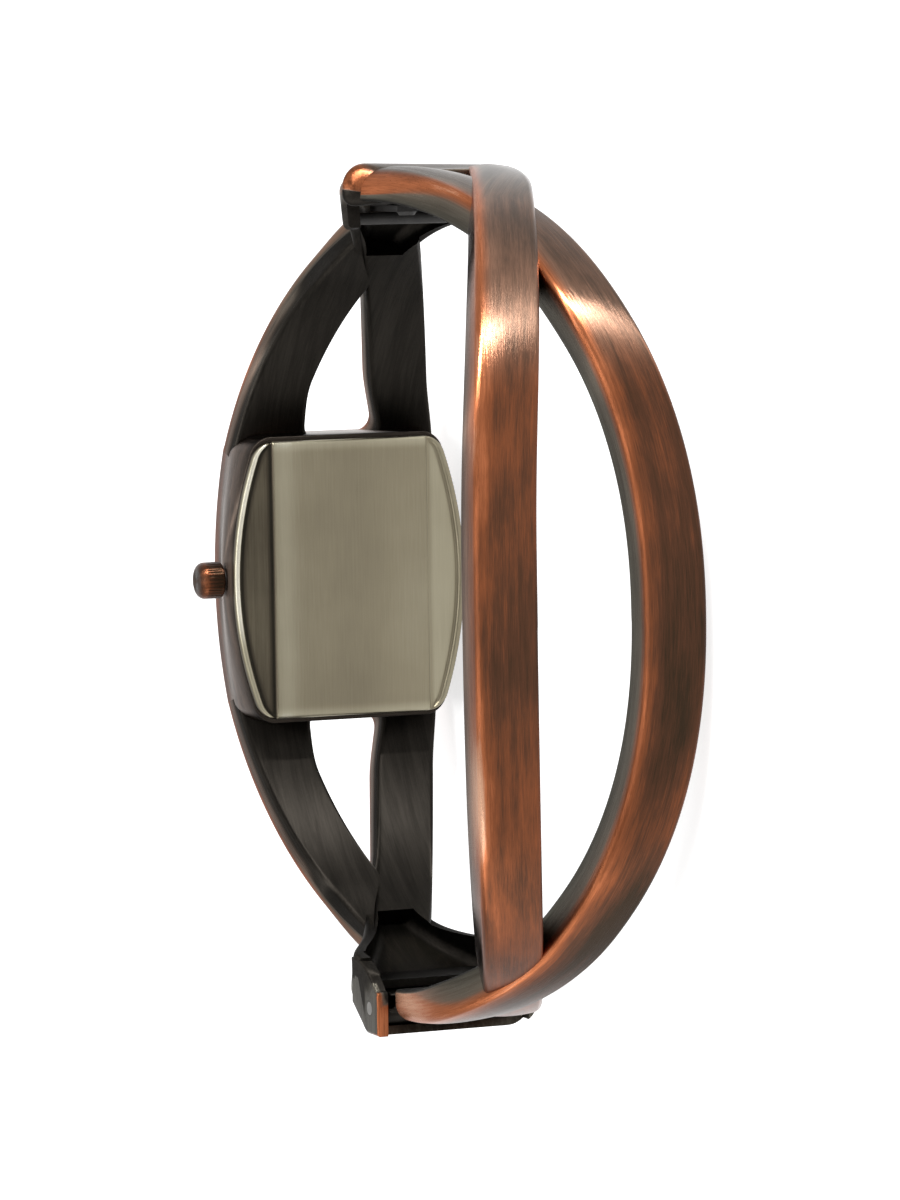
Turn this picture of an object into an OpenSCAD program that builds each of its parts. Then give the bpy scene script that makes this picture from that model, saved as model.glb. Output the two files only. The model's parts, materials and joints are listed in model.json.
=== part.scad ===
// Hinged bangle watch: a quartz watch in a ring of crossing strands.
// The watch is modelled round the centre of its ring: x runs out through the crown,
// y towards 12 o'clock and z out through the dial. place() lays it down on its
// 9 o'clock side, with the crown up and the dial facing the front.

/* [Ring] */
// Half the outer height of the closed ring, from its centre to the clasp end
ring_half_y = 31; // [30:0.25:33]
// Depth of the back half, from the joint plane to its outermost point
back_depth = 26.8; // [25.6:0.1:28]
// Squareness of the back half's curve, where 2 is an ellipse
back_squareness = 2.16; // [2:0.02:2.4]
// How far the watch half's strands sit inside the back half's outer height
front_step = 0.5; // [0.3:0.05:0.7]
// Depth of the watch half's strands, from the joint plane
front_depth = 26.1; // [25.6:0.1:26.6]
// Squareness of the watch half's curve
front_squareness = 1.94; // [1.86:0.02:2.1]

/* [Strands] */
// Width of a strand of the back half
back_strand_w = 4.75; // [4.2:0.05:5]
// Width of a strand of the watch half
front_strand_w = 4.7; // [4.3:0.05:5]
// Thickness of a strand of the back half at half height
back_strand_t = 2.9; // [2.5:0.1:3.1]
// Thickness of the back half at the clasp and at the hinge
back_end_t = 2.4; // [2.2:0.05:2.5]
// Thickness of a strand of the watch half
front_strand_t = 2.4; // [2.1:0.1:2.7]
// Rounding of a strand's outer edges
strand_edge_r = 0.5; // [0.2:0.05:0.7]
// Rounding of the upper strand's outer edges where it meets the end bar
end_edge_r = 1.9; // [1.2:0.1:2]
// Rounding of a strand's inner edges
under_edge_r = 0.35; // [0.2:0.05:0.45]
// Distance of the back strands' middles from the centre line at their ends
back_joint_x = 4.55; // [4.3:0.05:4.8]
// Distance of a back strand's middle from the centre line at half height
back_mid_x = 6.4; // [5.8:0.05:6.8]
// How far the lower strand swings in beside the clasp, and the upper one further on
clasp_bow = 1.3; // [0.6:0.1:1.5]
// How far the back half's outer face rises at the clasp
clasp_rise = 0.3; // [0.1:0.05:0.4]
// How far a back strand spreads out above the hinge
hinge_bow = 1.6; // [0.8:0.1:1.8]
// Distance of a front strand's middle from the centre line at the joint
front_joint_x = 4.55; // [4.2:0.05:4.8]
// Distance of a front strand's middle from the centre line at half height
front_mid_x = 6.4; // [6.1:0.05:6.6]
// How far the upper strand rises where two strands cross
weave_lift = 0.4; // [0.2:0.05:0.5]
// How far the lower strand sinks there
weave_sink = 0.1; // [0.05:0.05:0.3]

/* [Case] */
// Half the height of the case between its straight ends
case_half_y = 10.9; // [10.6:0.1:11.4]
// Half the width of the case back at its corners
back_corner_x = 7.4; // [7.1:0.05:7.5]
// Bulge of the case back's sides
back_bow = 2.05; // [1.8:0.05:2.3]
// Half the width of the case front at its corners
front_corner_x = 7.75; // [7.5:0.05:8]
// Bulge of the case front's sides
front_bow = 0.8; // [0.5:0.05:1.2]
// Radius of the case's corners, seen from the dial
corner_r = 1.2; // [0.9:0.1:1.6]
// Height of the wrist side of the case back above the ring's centre
back_z = 18.5; // [18.2:0.1:18.8]
// Height of the case's front rim above the ring's centre
rim_z = 25.8; // [25.6:0.1:26.2]
// How far the front rim falls from its middle to its straight ends
rim_arch = 0.8; // [0.4:0.1:1]
// Thickness of the case wall
case_wall = 1.1; // [1:0.05:1.2]

/* [Case back] */
// Thickness of the case back
back_t = 0.6; // [0.5:0.05:0.7]
// Depth of the case back's snap rim inside the case
skirt_h = 0.8; // [0.6:0.05:0.9]
// Thickness of the snap rim
skirt_t = 0.4; // [0.3:0.05:0.5]
// Half the width of the flat in the middle of the case back
back_flat_x = 6.3; // [5.8:0.1:6.6]
// How far the case back falls away beside that flat
back_facet_drop = 0.3; // [0.2:0.05:0.35]
// Width of the gasket between the case back and the case
back_gasket_w = 0.3; // [0.25:0.05:0.4]

/* [Crystal and dial] */
// Thickness of the crystal
crystal_t = 1.1; // [1:0.05:1.2]
// Width of the crystal's seat in the case
crystal_seat_w = 0.7; // [0.6:0.05:0.8]
// Thickness of the gasket round the crystal
crystal_gasket_t = 0.2; // [0.15:0.05:0.25]
// Thickness of the dial
dial_t = 0.35; // [0.3:0.05:0.4]
// Height of the dial's face above the ring's centre
dial_z = 23.1; // [23:0.05:23.2]
// Width of the ring between the dial and the crystal
dial_ring_w = 0.5; // [0.4:0.05:0.6]
// Length of an hour marker
marker_l = 1.1; // [0.8:0.1:1.3]
// Width of an hour marker
marker_w = 0.35; // [0.25:0.05:0.5]

/* [Hands] */
// Length of the hour hand
hour_hand_l = 3.6; // [3:0.1:4.2]
// Length of the minute hand
minute_hand_l = 5.2; // [4.8:0.1:5.4]
// Length of the second hand
second_hand_l = 5.1; // [4.6:0.1:5.4]
// Thickness of each hand
hand_t = 0.12; // [0.1:0.01:0.15]
// Gap between one hand and the next
hand_gap = 0.15; // [0.12:0.01:0.16]

/* [Crown] */
// Diameter of the crown
crown_d = 2.8; // [2.4:0.1:3.2]
// Length of the crown
crown_l = 1.9; // [1.8:0.05:2.4]
// Height of the crown's axis above the ring's centre
crown_z = 21.85; // [21.8:0.05:21.9]
// Travel of the crown when it is pulled to set the hands
crown_travel = 0.7; // [0.5:0.1:0.8]
// Diameter of the winding stem
stem_d = 0.7; // [0.6:0.05:0.8]
// Outer diameter of the crown tube
crown_tube_d = 1.7; // [1.6:0.05:1.8]

/* [Hinge] */
// Diameter of the hinge pin
pin_d = 1; // [0.8:0.05:1.1]
// Depth of the hinge pin's axis inside the back half's outer height
pin_inset = 0.8; // [0.7:0.05:0.9]
// Distance of the hinge pin in front of the joint plane
pin_z = 0.3; // [0.2:0.05:0.4]
// Radius of the back half's knuckle
knuckle_r = 1.25; // [1.2:0.05:1.3]
// Outside width of the hinge, across its ears
hinge_w = 12.9; // [12.6:0.1:13.2]
// Thickness of an ear
ear_t = 0.85; // [0.75:0.05:0.95]
// Thickness of the watch half's hollow end above the hinge
hinge_box_t = 3.6; // [3.3:0.1:4.2]
// Thickness of the plate that covers the knuckle
cover_t = 0.55; // [0.5:0.05:0.65]
// Distance of the ears' straight edge behind the pin
ear_reach = 1.6; // [1.5:0.05:1.7]

/* [Clasp] */
// How far the back half's end bar reaches past the joint plane
end_bar_reach = 2.5; // [2.3:0.05:2.6]
// How far the end bar reaches back between the strands
end_bar_back = 2; // [1.6:0.1:2.2]
// Radius of the end bar's outer corner beside the upper strand
bar_corner_r = 2.2; // [1.6:0.1:2.4]
// Thickness of the clasp box at its mouth
box_t = 3.8; // [3.7:0.05:4]
// Thickness of the clasp box's walls
box_wall = 0.95; // [0.8:0.05:1]
// Outside width of the clasp box
box_w = 12.4; // [12:0.1:13]
// Thickness of the spring tongue
tongue_t = 0.45; // [0.35:0.05:0.5]
// Width of the spring tongue
tongue_w = 7.5; // [6:0.5:8.5]
// Length of the tongue in front of the end bar
tongue_l = 2.5; // [2.3:0.1:2.7]
// Diameter of the catch bar
catch_d = 0.9; // [0.8:0.05:1]

/* [Movement] */
// Diameter of the movement
movement_d = 13; // [12.6:0.1:13.2]
// Diameter of the battery
battery_d = 5.8; // [5:0.1:5.8]
// Thickness of the battery
battery_h = 1.65; // [1.5:0.05:1.7]
// Thickness of the main plate
main_plate_t = 1.15; // [1.1:0.05:1.2]
// Length of the coil's winding
coil_l = 6.2; // [5:0.1:6.6]
// Diameter of the coil's winding
coil_d = 1.3; // [1.1:0.05:1.4]

/* [Fits] */
// Radial clearance of a turning fit
run_gap = 0.03; // [0.02:0.01:0.05]
// Clearance between loosely fitted pieces
loose_gap = 0.1; // [0.05:0.01:0.12]
// Clearance beside the hinge's knuckle and round its barrel
hinge_gap = 0.15; // [0.12:0.01:0.2]
// Gap between the end bar and the clasp box
joint_gap = 0.25; // [0.2:0.01:0.3]

/* [Hidden] */
$fn = 48;
// Overlap of a cut past the face it opens, or of pieces cast as one
eps = 0.05;
// How far a cut runs past a face where nothing is in its way
past = 1;

// Watch half's outer height and the hinge pin's place
front_half_y = ring_half_y - front_step;
pin_y = ring_half_y - pin_inset;

// Lengths of arc left by the strands, measured as angles round the half rings
strand_end_gap = 0.8;
strand_end_z = pin_z - knuckle_r - strand_end_gap;
back_end_angle = asin(pow(-strand_end_z / back_depth, back_squareness / 2));
front_crossing = asin(front_joint_x / (front_joint_x + front_mid_x));
back_crossing = asin(back_joint_x / (back_joint_x + back_mid_x));
mouth_z = end_bar_reach + joint_gap;
mouth_angle = asin(pow(mouth_z / front_depth, front_squareness / 2));
case_angle = acos(pow((case_half_y - case_wall / 2) / front_half_y, front_squareness / 2));
weave_reach = 24;
bow_share = 0.6;
ring_steps = 44;
part_steps = 16;
flare_steps = 12;
flare_edge_r = 0.8;

// Where the back strands bend aside and how far each bend reaches, in degrees round the ring
clasp_bend = 16;
clasp_bend_reach = 34;
upper_bend = 47;
upper_bend_reach = 35;
upper_bow = 0.31 * clasp_bow;
hinge_bend = 16;
hinge_bend_reach = 26;
// How far round the ring the rise, the swelling and the larger edges at the ends last
rise_reach = 25;
swell_reach = 30;
end_edge_reach = 18;
// How the front strands spread where they meet the case
spread_reach = 12;
upper_inner_spread = 0.9;
lower_inner_spread = 0.6;
lower_outer_spread = 0.3;
// Where the front strands start and the flare is at its full width, past the joint
strand_start = 3;
flare_full = 2.5;
flare_start = 4;
neck_half_w = front_strand_w / 2 + eps;
neck_t = front_strand_t - 0.3;
hollow_min = 0.5;

// Case stack, from the wrist to the crystal
case_rear_z = back_z + back_t;
dial_under_z = dial_z - dial_t;
motion_gap = 0.4;
plate_front_z = dial_under_z - motion_gap;
plate_rear_z = plate_front_z - main_plate_t;
seat_z = rim_z - crystal_t - loose_gap;
opening_inset = case_wall + crystal_seat_w;
waist_share = 0.45;
waist_z = case_rear_z + waist_share * (rim_z - case_rear_z);
waist_corner_x = max(back_corner_x, front_corner_x) + 0.1;
waist_bow = back_bow + (front_bow - back_bow) * bow_share;
case_side_x = waist_corner_x + waist_bow;
bevel = 0.3;
corner_steps = 5;
side_steps = 8;

// Hands, from the dial outwards, at nine minutes past ten and thirty seconds
hour_turn = 55.5;
minute_turn = -54;
second_turn = 180;
hub_rim = 0.25;
hour_hand_z = dial_z + hand_gap + eps;
minute_hand_z = hour_hand_z + hand_t + hand_gap;
second_hand_z = minute_hand_z + hand_t + hand_gap;
train_r = 2.6;
train_t = 0.2;
train_room_h = 0.65;
train_floor_z = plate_front_z - train_room_h;
seconds_wheel_z = train_floor_z + eps;
centre_wheel_z = seconds_wheel_z + train_t + loose_gap;
hour_wheel_r = 1.5;
hour_wheel_t = 0.2;
hour_wheel_z = plate_front_z + 0.12;
hour_tube_r = 0.72;
cannon_r = 0.45;
arbor_r = 0.18;

// The battery lies beside the centre pinion, the coil near 12 o'clock
battery_turn = 218;
battery_away = battery_d / 2 + cannon_r + 2 * loose_gap;
battery_x = battery_away * cos(battery_turn);
battery_y = battery_away * sin(battery_turn);
battery_seat_h = 0.35;
battery_rear_z = plate_rear_z - battery_h + battery_seat_h;
coil_y = 4;
coil_core_r = 0.35;
coil_core_end = 0.5;
bridge_t = 0.35;
screw_r = 0.4;
screw_head_h = 0.3;
screw_spots = [[-4.7, 2.4], [4.7, 2.2], [3.6, -4.2]];
movement_edge = 0.3;

// Crown and stem along x
crown_start_x = case_side_x + 0.3;
crown_end_x = crown_start_x + crown_l;
crown_cap_t = 0.7;
stem_end_x = crown_end_x - crown_cap_t;
crown_recess_r = crown_tube_d / 2 + hinge_gap;
crown_recess_l = crown_travel + eps;
crown_gasket_t = 0.25;
tube_out = crown_recess_l - crown_gasket_t - loose_gap;
tube_start_x = case_side_x - 2.2;
stem_start_x = 3.15;
pinion_start_x = 3.1;
pinion_l = 1.1;
pinion_r = 0.6;

// Clasp, from the end bar inwards
bar_extra = 0.35;
end_bar_top = ring_half_y + clasp_rise + bar_extra;
bar_plan_r = 2.2;
bar_fall = 1.2;
bar_near_r = bar_corner_r - 0.6;
end_bar_under = ring_half_y - back_end_t - eps;
end_bar_half_w = back_joint_x + back_strand_w / 2;
tongue_under = end_bar_under - tongue_t;
catch_y = tongue_under - loose_gap - catch_d / 2;
catch_z = mouth_z + box_wall - loose_gap;
catch_inset = 0.3;
dimple_r = 0.35;
box_lift = 0.5;
box_overrun = 1;
box_late = 2;
roof_t = 1.05;
rivet_x = 2.3;
rivet_z = 0.6;
rivet_r = 0.45;

// Hinge
pin_r = pin_d / 2;
ear_inner_x = hinge_w / 2 - ear_t;
knuckle_half_w = ear_inner_x - hinge_gap;
cover_r = knuckle_r + hinge_gap + cover_t;
cover_angle = 18;
hinge_lift = 0.1;
hinge_wall_angle = 3.4;
hinge_wall_t = 0.6;
arm_reach = 3.6;
arm_out = 0.15;
ear_stop = 1;
ear_tip = 0.7;
ear_lean = 0.35;

// Resting place: the lowest and the outermost points
low_x = max(case_side_x, back_corner_x + back_bow);
far_y = pin_y + cover_r;
centre_y = (far_y - end_bar_top) / 2;
centre_z = (back_depth - rim_z) / 2;

copper = "#8a4b32";
steel = "#b4b3ab";

module place() {
    translate([-centre_y, -centre_z, low_x])
        rotate([90, -90, 0])
            children();
}

// Signed power, for the superellipse of a half ring
function spow(value, power) = sign(value) * pow(abs(value), power);
// A point (y, z) on a half ring at an angle from its 12 o'clock end
function ring_point(half_y, depth, square, angle) =
    [half_y * spow(cos(angle), 2 / square), depth * spow(sin(angle), 2 / square)];
// The outward unit normal there
function ring_slope(half_y, depth, square, angle) =
    let (p = ring_point(half_y, depth, square, angle))
    [spow(p[0] / half_y, square - 1) / half_y, spow(p[1] / depth, square - 1) / depth];
function unit(v) = v / norm(v);
// One hump of the weave: 1 at the crossing, easing to 0 on either side
function hump(angle, centre, reach) =
    abs(angle - centre) >= reach ? 0 : pow(cos(90 * (angle - centre) / reach), 2);
function clamp01(value) = min(1, max(0, value));
function ease(value) = let (v = clamp01(value)) v * v * (3 - 2 * v);

// A band's section at one angle: its middle, half width, outer lift and thickness
function band_section(middle, half_w, lift, thick, edge) = [
    for (corner = [[1, 0, edge], [1, 1, under_edge_r], [-1, 1, under_edge_r], [-1, 0, edge]],
         turn = [0, 45, 90])
        let (
            r = corner[2],
            first = corner[0] * (corner[1] == 0 ? 1 : -1) > 0,
            bend = first ? turn : 90 - turn,
            across = half_w - r * (1 - cos(90 - bend)),
            down = r * (1 - cos(bend))
        )
        [middle + corner[0] * across, lift - (corner[1] == 0 ? down : thick - down)]
];

// Sweeps sections along a half ring. Each row is [angle, section].
module band(half_y, depth, square, rows) {
    sides = len(rows[0][1]);
    points = [
        for (row = rows)
            let (
                p = ring_point(half_y, depth, square, row[0]),
                n = unit(ring_slope(half_y, depth, square, row[0]))
            )
            for (s = row[1]) [s[0], p[0] + n[0] * s[1], p[1] + n[1] * s[1]]
    ];
    last = (len(rows) - 1) * sides;
    skin = [
        for (i = [0 : len(rows) - 2], k = [0 : sides - 1])
            let (a = i * sides + k, b = i * sides + (k + 1) % sides)
            each [[a, b, a + sides], [b, b + sides, a + sides]]
    ];
    caps = [[for (k = [sides - 1 : -1 : 0]) k], [for (k = [0 : sides - 1]) last + k]];
    polyhedron(points = points, faces = concat(skin, caps), convexity = 6);
}

// A back strand, from the end bar to the hinge. side is -1 or 1, the side it starts on.
// Beside the hinge its outer edge stays between the ears.
module back_strand(side) {
    end = 180 - back_end_angle;
    rows = [
        for (i = [0 : ring_steps])
            let (
                angle = end * i / ring_steps,
                swing = side > 0 ? clasp_bow * hump(angle, clasp_bend, clasp_bend_reach)
                    : upper_bow * hump(angle, upper_bend, upper_bend_reach),
                spread = side > 0 ? hinge_bow * hump(180 - angle, hinge_bend, hinge_bend_reach) : 0,
                middle = back_joint_x - (back_joint_x + back_mid_x) * sin(angle),
                outer = min(middle + back_strand_w / 2 + spread - side * swing,
                    angle < 90 ? ring_half_y : knuckle_half_w),
                inner = middle - back_strand_w / 2 + bow_share * (spread - swing * side),
                over = side < 0 ? back_crossing : 180 - back_crossing,
                lift = weave_lift * hump(angle, over, weave_reach)
                    - weave_sink * hump(angle, 180 - over, weave_reach)
                    + clasp_rise * (1 - ease(angle / rise_reach)),
                thick = back_end_t
                    + (back_strand_t - back_end_t) * ease(min(angle, 180 - angle) / swell_reach)
            )
            [angle, band_section(side * (outer + inner) / 2, (outer - inner) / 2, lift, thick,
                strand_edge_r + (end_edge_r - strand_edge_r) * (1 - ease(angle / end_edge_reach)))]
    ];
    mirror([0, 0, 1])
        band(ring_half_y, back_depth, back_squareness, rows);
}

// A front strand, from the flare to the case. Its inner edge spreads where it meets the case.
module front_strand(side) {
    start = mouth_angle + strand_start;
    rows = [
        for (i = [0 : part_steps])
            let (
                angle = start + (case_angle - start) * i / part_steps,
                middle = side * ((front_joint_x + front_mid_x) * sin(angle) - front_joint_x),
                near = ease((angle - case_angle + spread_reach) / spread_reach),
                inner = side > 0 ? -upper_inner_spread * near : lower_inner_spread * near,
                outer = side > 0 ? 0 : lower_outer_spread * near,
                lift = (side > 0 ? weave_lift : -weave_sink) * hump(angle, front_crossing, weave_reach / 2)
            )
            [angle, band_section(middle + side * (outer + inner) / 2,
                (front_strand_w + outer - inner) / 2, lift, front_strand_t, strand_edge_r)]
    ];
    band(front_half_y, front_depth, front_squareness, rows);
}

// The flare between the crossing and the joint, or the hollow inside it
module flare(end_half_w, end_lift, end_t, late, inset, roof, overrun) {
    full_angle = mouth_angle + flare_full;
    start = front_crossing + flare_start;
    finish = mouth_angle - overrun;
    rows = [
        for (i = [0 : flare_steps])
            let (
                angle = finish + (start - finish) * i / flare_steps,
                share = clamp01((start - angle) / (start - full_angle)),
                half_w = neck_half_w + (end_half_w - neck_half_w) * (share + ease(share)) / 2,
                lift = end_lift * ease(share) - weave_sink,
                thick = neck_t + (end_t - neck_t) * ease(share) * pow(share, late)
            )
            [angle, band_section(0, max(hollow_min, half_w - inset), lift - roof,
                thick - roof + (roof > 0 ? 2 * past : 0), flare_edge_r)]
    ];
    band(front_half_y, front_depth, front_squareness, rows);
}

// Rows of a case outline: straight ends, bowed sides and round corners
function bow_x(corner_x, bow, half_y, y) = corner_x + bow * (1 - pow(y / half_y, 2));
function outline_rows(corner_x, bow, half_y, r) = [
    for (t = [-corner_steps : side_steps + corner_steps])
        let (
            flat = half_y - r,
            turn = 90 / corner_steps,
            y = t < 0 ? -flat - r * sin(-turn * t)
                : t > side_steps ? flat + r * sin(turn * (t - side_steps))
                : -flat + 2 * flat * t / side_steps,
            tuck = r - sqrt(max(0, r * r - pow(max(0, abs(y) - flat), 2)))
        )
        [bow_x(corner_x, bow, half_y, y) - tuck, y]
];
function outline(corner_x, bow, half_y, r) =
    let (rows = outline_rows(corner_x, bow, half_y, r), n = len(rows))
    concat(rows, [for (i = [n - 1 : -1 : 0]) [-rows[i][0], rows[i][1]]]);

// A solid through several outlines. Each level is [outline rows, height, arch].
module loft(levels) {
    n = len(levels[0][0]);
    ring = 2 * n;
    points = [
        for (level = levels, i = [0 : ring - 1])
            let (
                row = level[0][i < n ? i : ring - 1 - i],
                z = level[1] - level[2] * pow(row[1] / case_half_y, 2)
            )
            [(i < n ? 1 : -1) * row[0], row[1], z]
    ];
    top = (len(levels) - 1) * ring;
    skin = [
        for (l = [0 : len(levels) - 2], i = [0 : ring - 1])
            let (a = l * ring + i, b = l * ring + (i + 1) % ring)
            each [[a, a + ring, b], [b, a + ring, b + ring]]
    ];
    floors = [for (i = [0 : n - 2]) [i, i + 1, ring - 2 - i, ring - 1 - i]];
    roofs = [for (i = [0 : n - 2]) [top + ring - 1 - i, top + ring - 2 - i, top + i + 1, top + i]];
    polyhedron(points = points, faces = concat(skin, floors, roofs), convexity = 4);
}

function inset_r(inset) = max(bevel, corner_r - inset / 2);
function back_rows(inset) =
    outline_rows(back_corner_x - inset, back_bow, case_half_y - inset, inset_r(inset));
function waist_rows(inset) =
    outline_rows(waist_corner_x - inset, waist_bow, case_half_y - inset, inset_r(inset));
function front_rows(inset) =
    outline_rows(front_corner_x - inset, front_bow, case_half_y - inset, inset_r(inset));

module back_outline(inset) {
    polygon(outline(back_corner_x - inset, back_bow, case_half_y - inset, inset_r(inset)));
}

// Extrudes a (y, z) profile along x
module along_x(from_x, to_x) {
    translate([from_x, 0, 0])
        rotate([90, 0, 90])
            linear_extrude(to_x - from_x)
                children();
}

// A round bar along x
module bar_x(r, from_x, to_x) {
    translate([from_x, 0, 0])
        rotate([0, 90, 0])
            cylinder(r = r, h = to_x - from_x);
}

module case_shell() {
    loft([
        [back_rows(0), case_rear_z, 0],
        [waist_rows(0), waist_z, 0],
        [front_rows(0), rim_z - bevel, rim_arch],
        [front_rows(bevel), rim_z, rim_arch]
    ]);
}

// The side view of the hinge's ears
module ear_profile() {
    edge_z = pin_z - ear_reach;
    in_y = -pin_y + knuckle_r + hinge_gap;
    out_y = -pin_y - cover_r;
    stop_z = mouth_z + ear_stop;
    polygon(concat(
        [[in_y, stop_z], [in_y, edge_z + bevel], [in_y - bevel, edge_z], [out_y, edge_z]],
        [for (a = [0 : 10 : 50]) [-pin_y - cover_r * cos(a), pin_z + cover_r * sin(a)]],
        [[-front_half_y - hinge_lift, stop_z - ear_tip], [-front_half_y + ear_lean, stop_z]]
    ));
}

// Room for the knuckle and for the back half's arm as it swings out
module hinge_room() {
    reach = 8;
    along_x(-ear_inner_x, ear_inner_x)
        translate([-pin_y, pin_z]) {
            circle(r = knuckle_r + hinge_gap);
            polygon([[0, 0], [-reach * cos(cover_angle), -reach * sin(cover_angle)],
                [-reach, -reach], [reach, -reach], [reach, 0]]);
        }
}

module watch_half() {
    color(copper)
        place()
            difference() {
                union() {
                    case_shell();
                    for (end = [0, 1])
                        mirror([0, end, 0]) {
                            front_strand(1);
                            front_strand(-1);
                        }
                    flare(box_w / 2, box_lift, box_t, box_late, 0, 0, 0);
                    mirror([0, 1, 0])
                        flare(hinge_w / 2, hinge_lift, hinge_box_t, 0, 0, 0, 0);
                    along_x(-hinge_w / 2, hinge_w / 2)
                        ear_profile();
                }
                watch_half_cuts();
                // The hinge's lower corners are rounded
                for (side = [-1, 1])
                    mirror([side < 0 ? 1 : 0, 0, 0])
                        translate([hinge_w / 2, -pin_y - cover_r, 0])
                            mirror([0, 1, 0])
                                corner_cut(side < 0 ? bar_corner_r : bevel, 2 * mouth_z);
            }
}

// The sliver outside a round corner whose sharp point is at the origin, cut along z
module corner_cut(r, reach) {
    translate([-r, -r, -reach])
        linear_extrude(2 * reach)
            difference() {
                square(2 * r);
                circle(r = r);
            }
}

module watch_half_cuts() {
    // Movement's room, the dial opening and the crystal's seat
    translate([0, 0, case_rear_z - eps])
        linear_extrude(dial_z - case_rear_z + eps)
            back_outline(case_wall);
    loft([[front_rows(opening_inset), dial_z - eps, 0], [front_rows(opening_inset), rim_z + past, 0]]);
    loft([[front_rows(case_wall), seat_z, rim_arch], [front_rows(case_wall), rim_z + past, rim_arch]]);
    // Crown tube's bore
    translate([0, 0, crown_z])
        bar_x(crown_tube_d / 2, tube_start_x - past, case_side_x + past);
    // Clasp box, open to the wrist and at its mouth
    flare(box_w / 2, box_lift, box_t, box_late, box_wall, roof_t, box_overrun);
    translate([0, catch_y, catch_z])
        bar_x(catch_d / 2, -box_w, box_w);
    // The hollow above the hinge, then the hinge's own room and bore
    mirror([0, 1, 0])
        flare(hinge_w / 2, hinge_lift, hinge_box_t, 0, box_wall, roof_t, -hinge_wall_angle);
    along_x(-hinge_w / 2 + box_wall, hinge_w / 2 - box_wall)
        translate([-pin_y + knuckle_r + hinge_gap + hinge_wall_t, 0])
            square([hinge_box_t, 2 * mouth_z]);
    hinge_room();
    translate([0, -pin_y, pin_z])
        bar_x(pin_r + run_gap, -hinge_w, hinge_w);
}

// The end bar falls a little towards the upper strand, and its corners are round
module end_bar() {
    r = bar_plan_r;
    w = end_bar_half_w + bar_extra / 2;
    fall = 2 * w * tan(bar_fall);
    difference() {
        translate([bar_extra / 2, end_bar_top, 0])
            rotate([90, 0, 0])
                linear_extrude(end_bar_top - end_bar_under) {
                    translate([-w, -end_bar_back])
                        square([2 * w, end_bar_back + end_bar_reach - r]);
                    translate([-w + r, -end_bar_back])
                        square([2 * (w - r), end_bar_back + end_bar_reach]);
                    for (side = [-1, 1])
                        translate([side * (w - r), end_bar_reach - r])
                            circle(r = r);
                }
        translate([w + bar_extra / 2, end_bar_top, 0])
            rotate([0, 0, bar_fall])
                translate([-4 * w, 0, -2 * end_bar_reach])
                    cube([5 * w, past, 4 * end_bar_reach]);
        translate([w + bar_extra / 2, end_bar_top, 0])
            corner_cut(bar_near_r, 2 * end_bar_reach);
        translate([-w + bar_extra / 2, end_bar_top - fall, 0])
            mirror([1, 0, 0])
                corner_cut(bar_corner_r, 2 * end_bar_reach);
    }
}

// The arm that joins the strands to the knuckle, set in from their outer face
module hinge_arm() {
    along_x(-knuckle_half_w, knuckle_half_w)
        translate([-pin_y, pin_z]) {
            circle(r = knuckle_r);
            polygon([[-arm_out, 0], [-arm_out, -arm_reach], [knuckle_r, -arm_reach], [knuckle_r, 0]]);
        }
}

module back_half() {
    color(copper)
        place()
            difference() {
                union() {
                    back_strand(1);
                    back_strand(-1);
                    end_bar();
                    hinge_arm();
                }
                translate([0, -pin_y, pin_z])
                    bar_x(pin_r + run_gap, -hinge_w, hinge_w);
            }
}

module hinge_pin() {
    color(steel)
        place()
            translate([0, -pin_y, pin_z])
                bar_x(pin_r, -hinge_w / 2, hinge_w / 2);
}

module catch_bar() {
    color(steel)
        place()
            translate([0, catch_y, catch_z])
                bar_x(catch_d / 2, -box_w / 2 + catch_inset, box_w / 2 - catch_inset);
}

module clasp_tongue() {
    tip_r = 1;
    back_end = -1.2;
    length = end_bar_reach + tongue_l - back_end;
    color(steel)
        place()
            difference() {
                union() {
                    translate([0, end_bar_under, 0])
                        rotate([90, 0, 0])
                            linear_extrude(tongue_t) {
                                translate([-tongue_w / 2, back_end])
                                    square([tongue_w, length - tip_r]);
                                translate([-tongue_w / 2 + tip_r, back_end])
                                    square([tongue_w - 2 * tip_r, length]);
                                for (side = [-1, 1])
                                    translate([side * (tongue_w / 2 - tip_r), back_end + length - tip_r])
                                        circle(r = tip_r);
                            }
                    translate([0, tongue_under + dimple_r - loose_gap / 2,
                        catch_z + catch_d / 2 + dimple_r + loose_gap])
                        bar_x(dimple_r, -tongue_w / 4, tongue_w / 4);
                }
                for (side = [-1, 1])
                    translate([side * rivet_x, end_bar_under + past, rivet_z])
                        rotate([90, 0, 0])
                            cylinder(r = rivet_r, h = 3 * past);
            }
}

module tongue_rivets() {
    head_r = 0.75;
    head_h = 0.3;
    color(steel)
        place()
            for (side = [-1, 1])
                translate([side * rivet_x, end_bar_under, rivet_z])
                    rotate([90, 0, 0]) {
                        cylinder(r = rivet_r - run_gap, h = tongue_t + eps);
                        translate([0, 0, tongue_t])
                            cylinder(r1 = head_r, r2 = head_r - 0.2, h = head_h);
                    }
}

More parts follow.
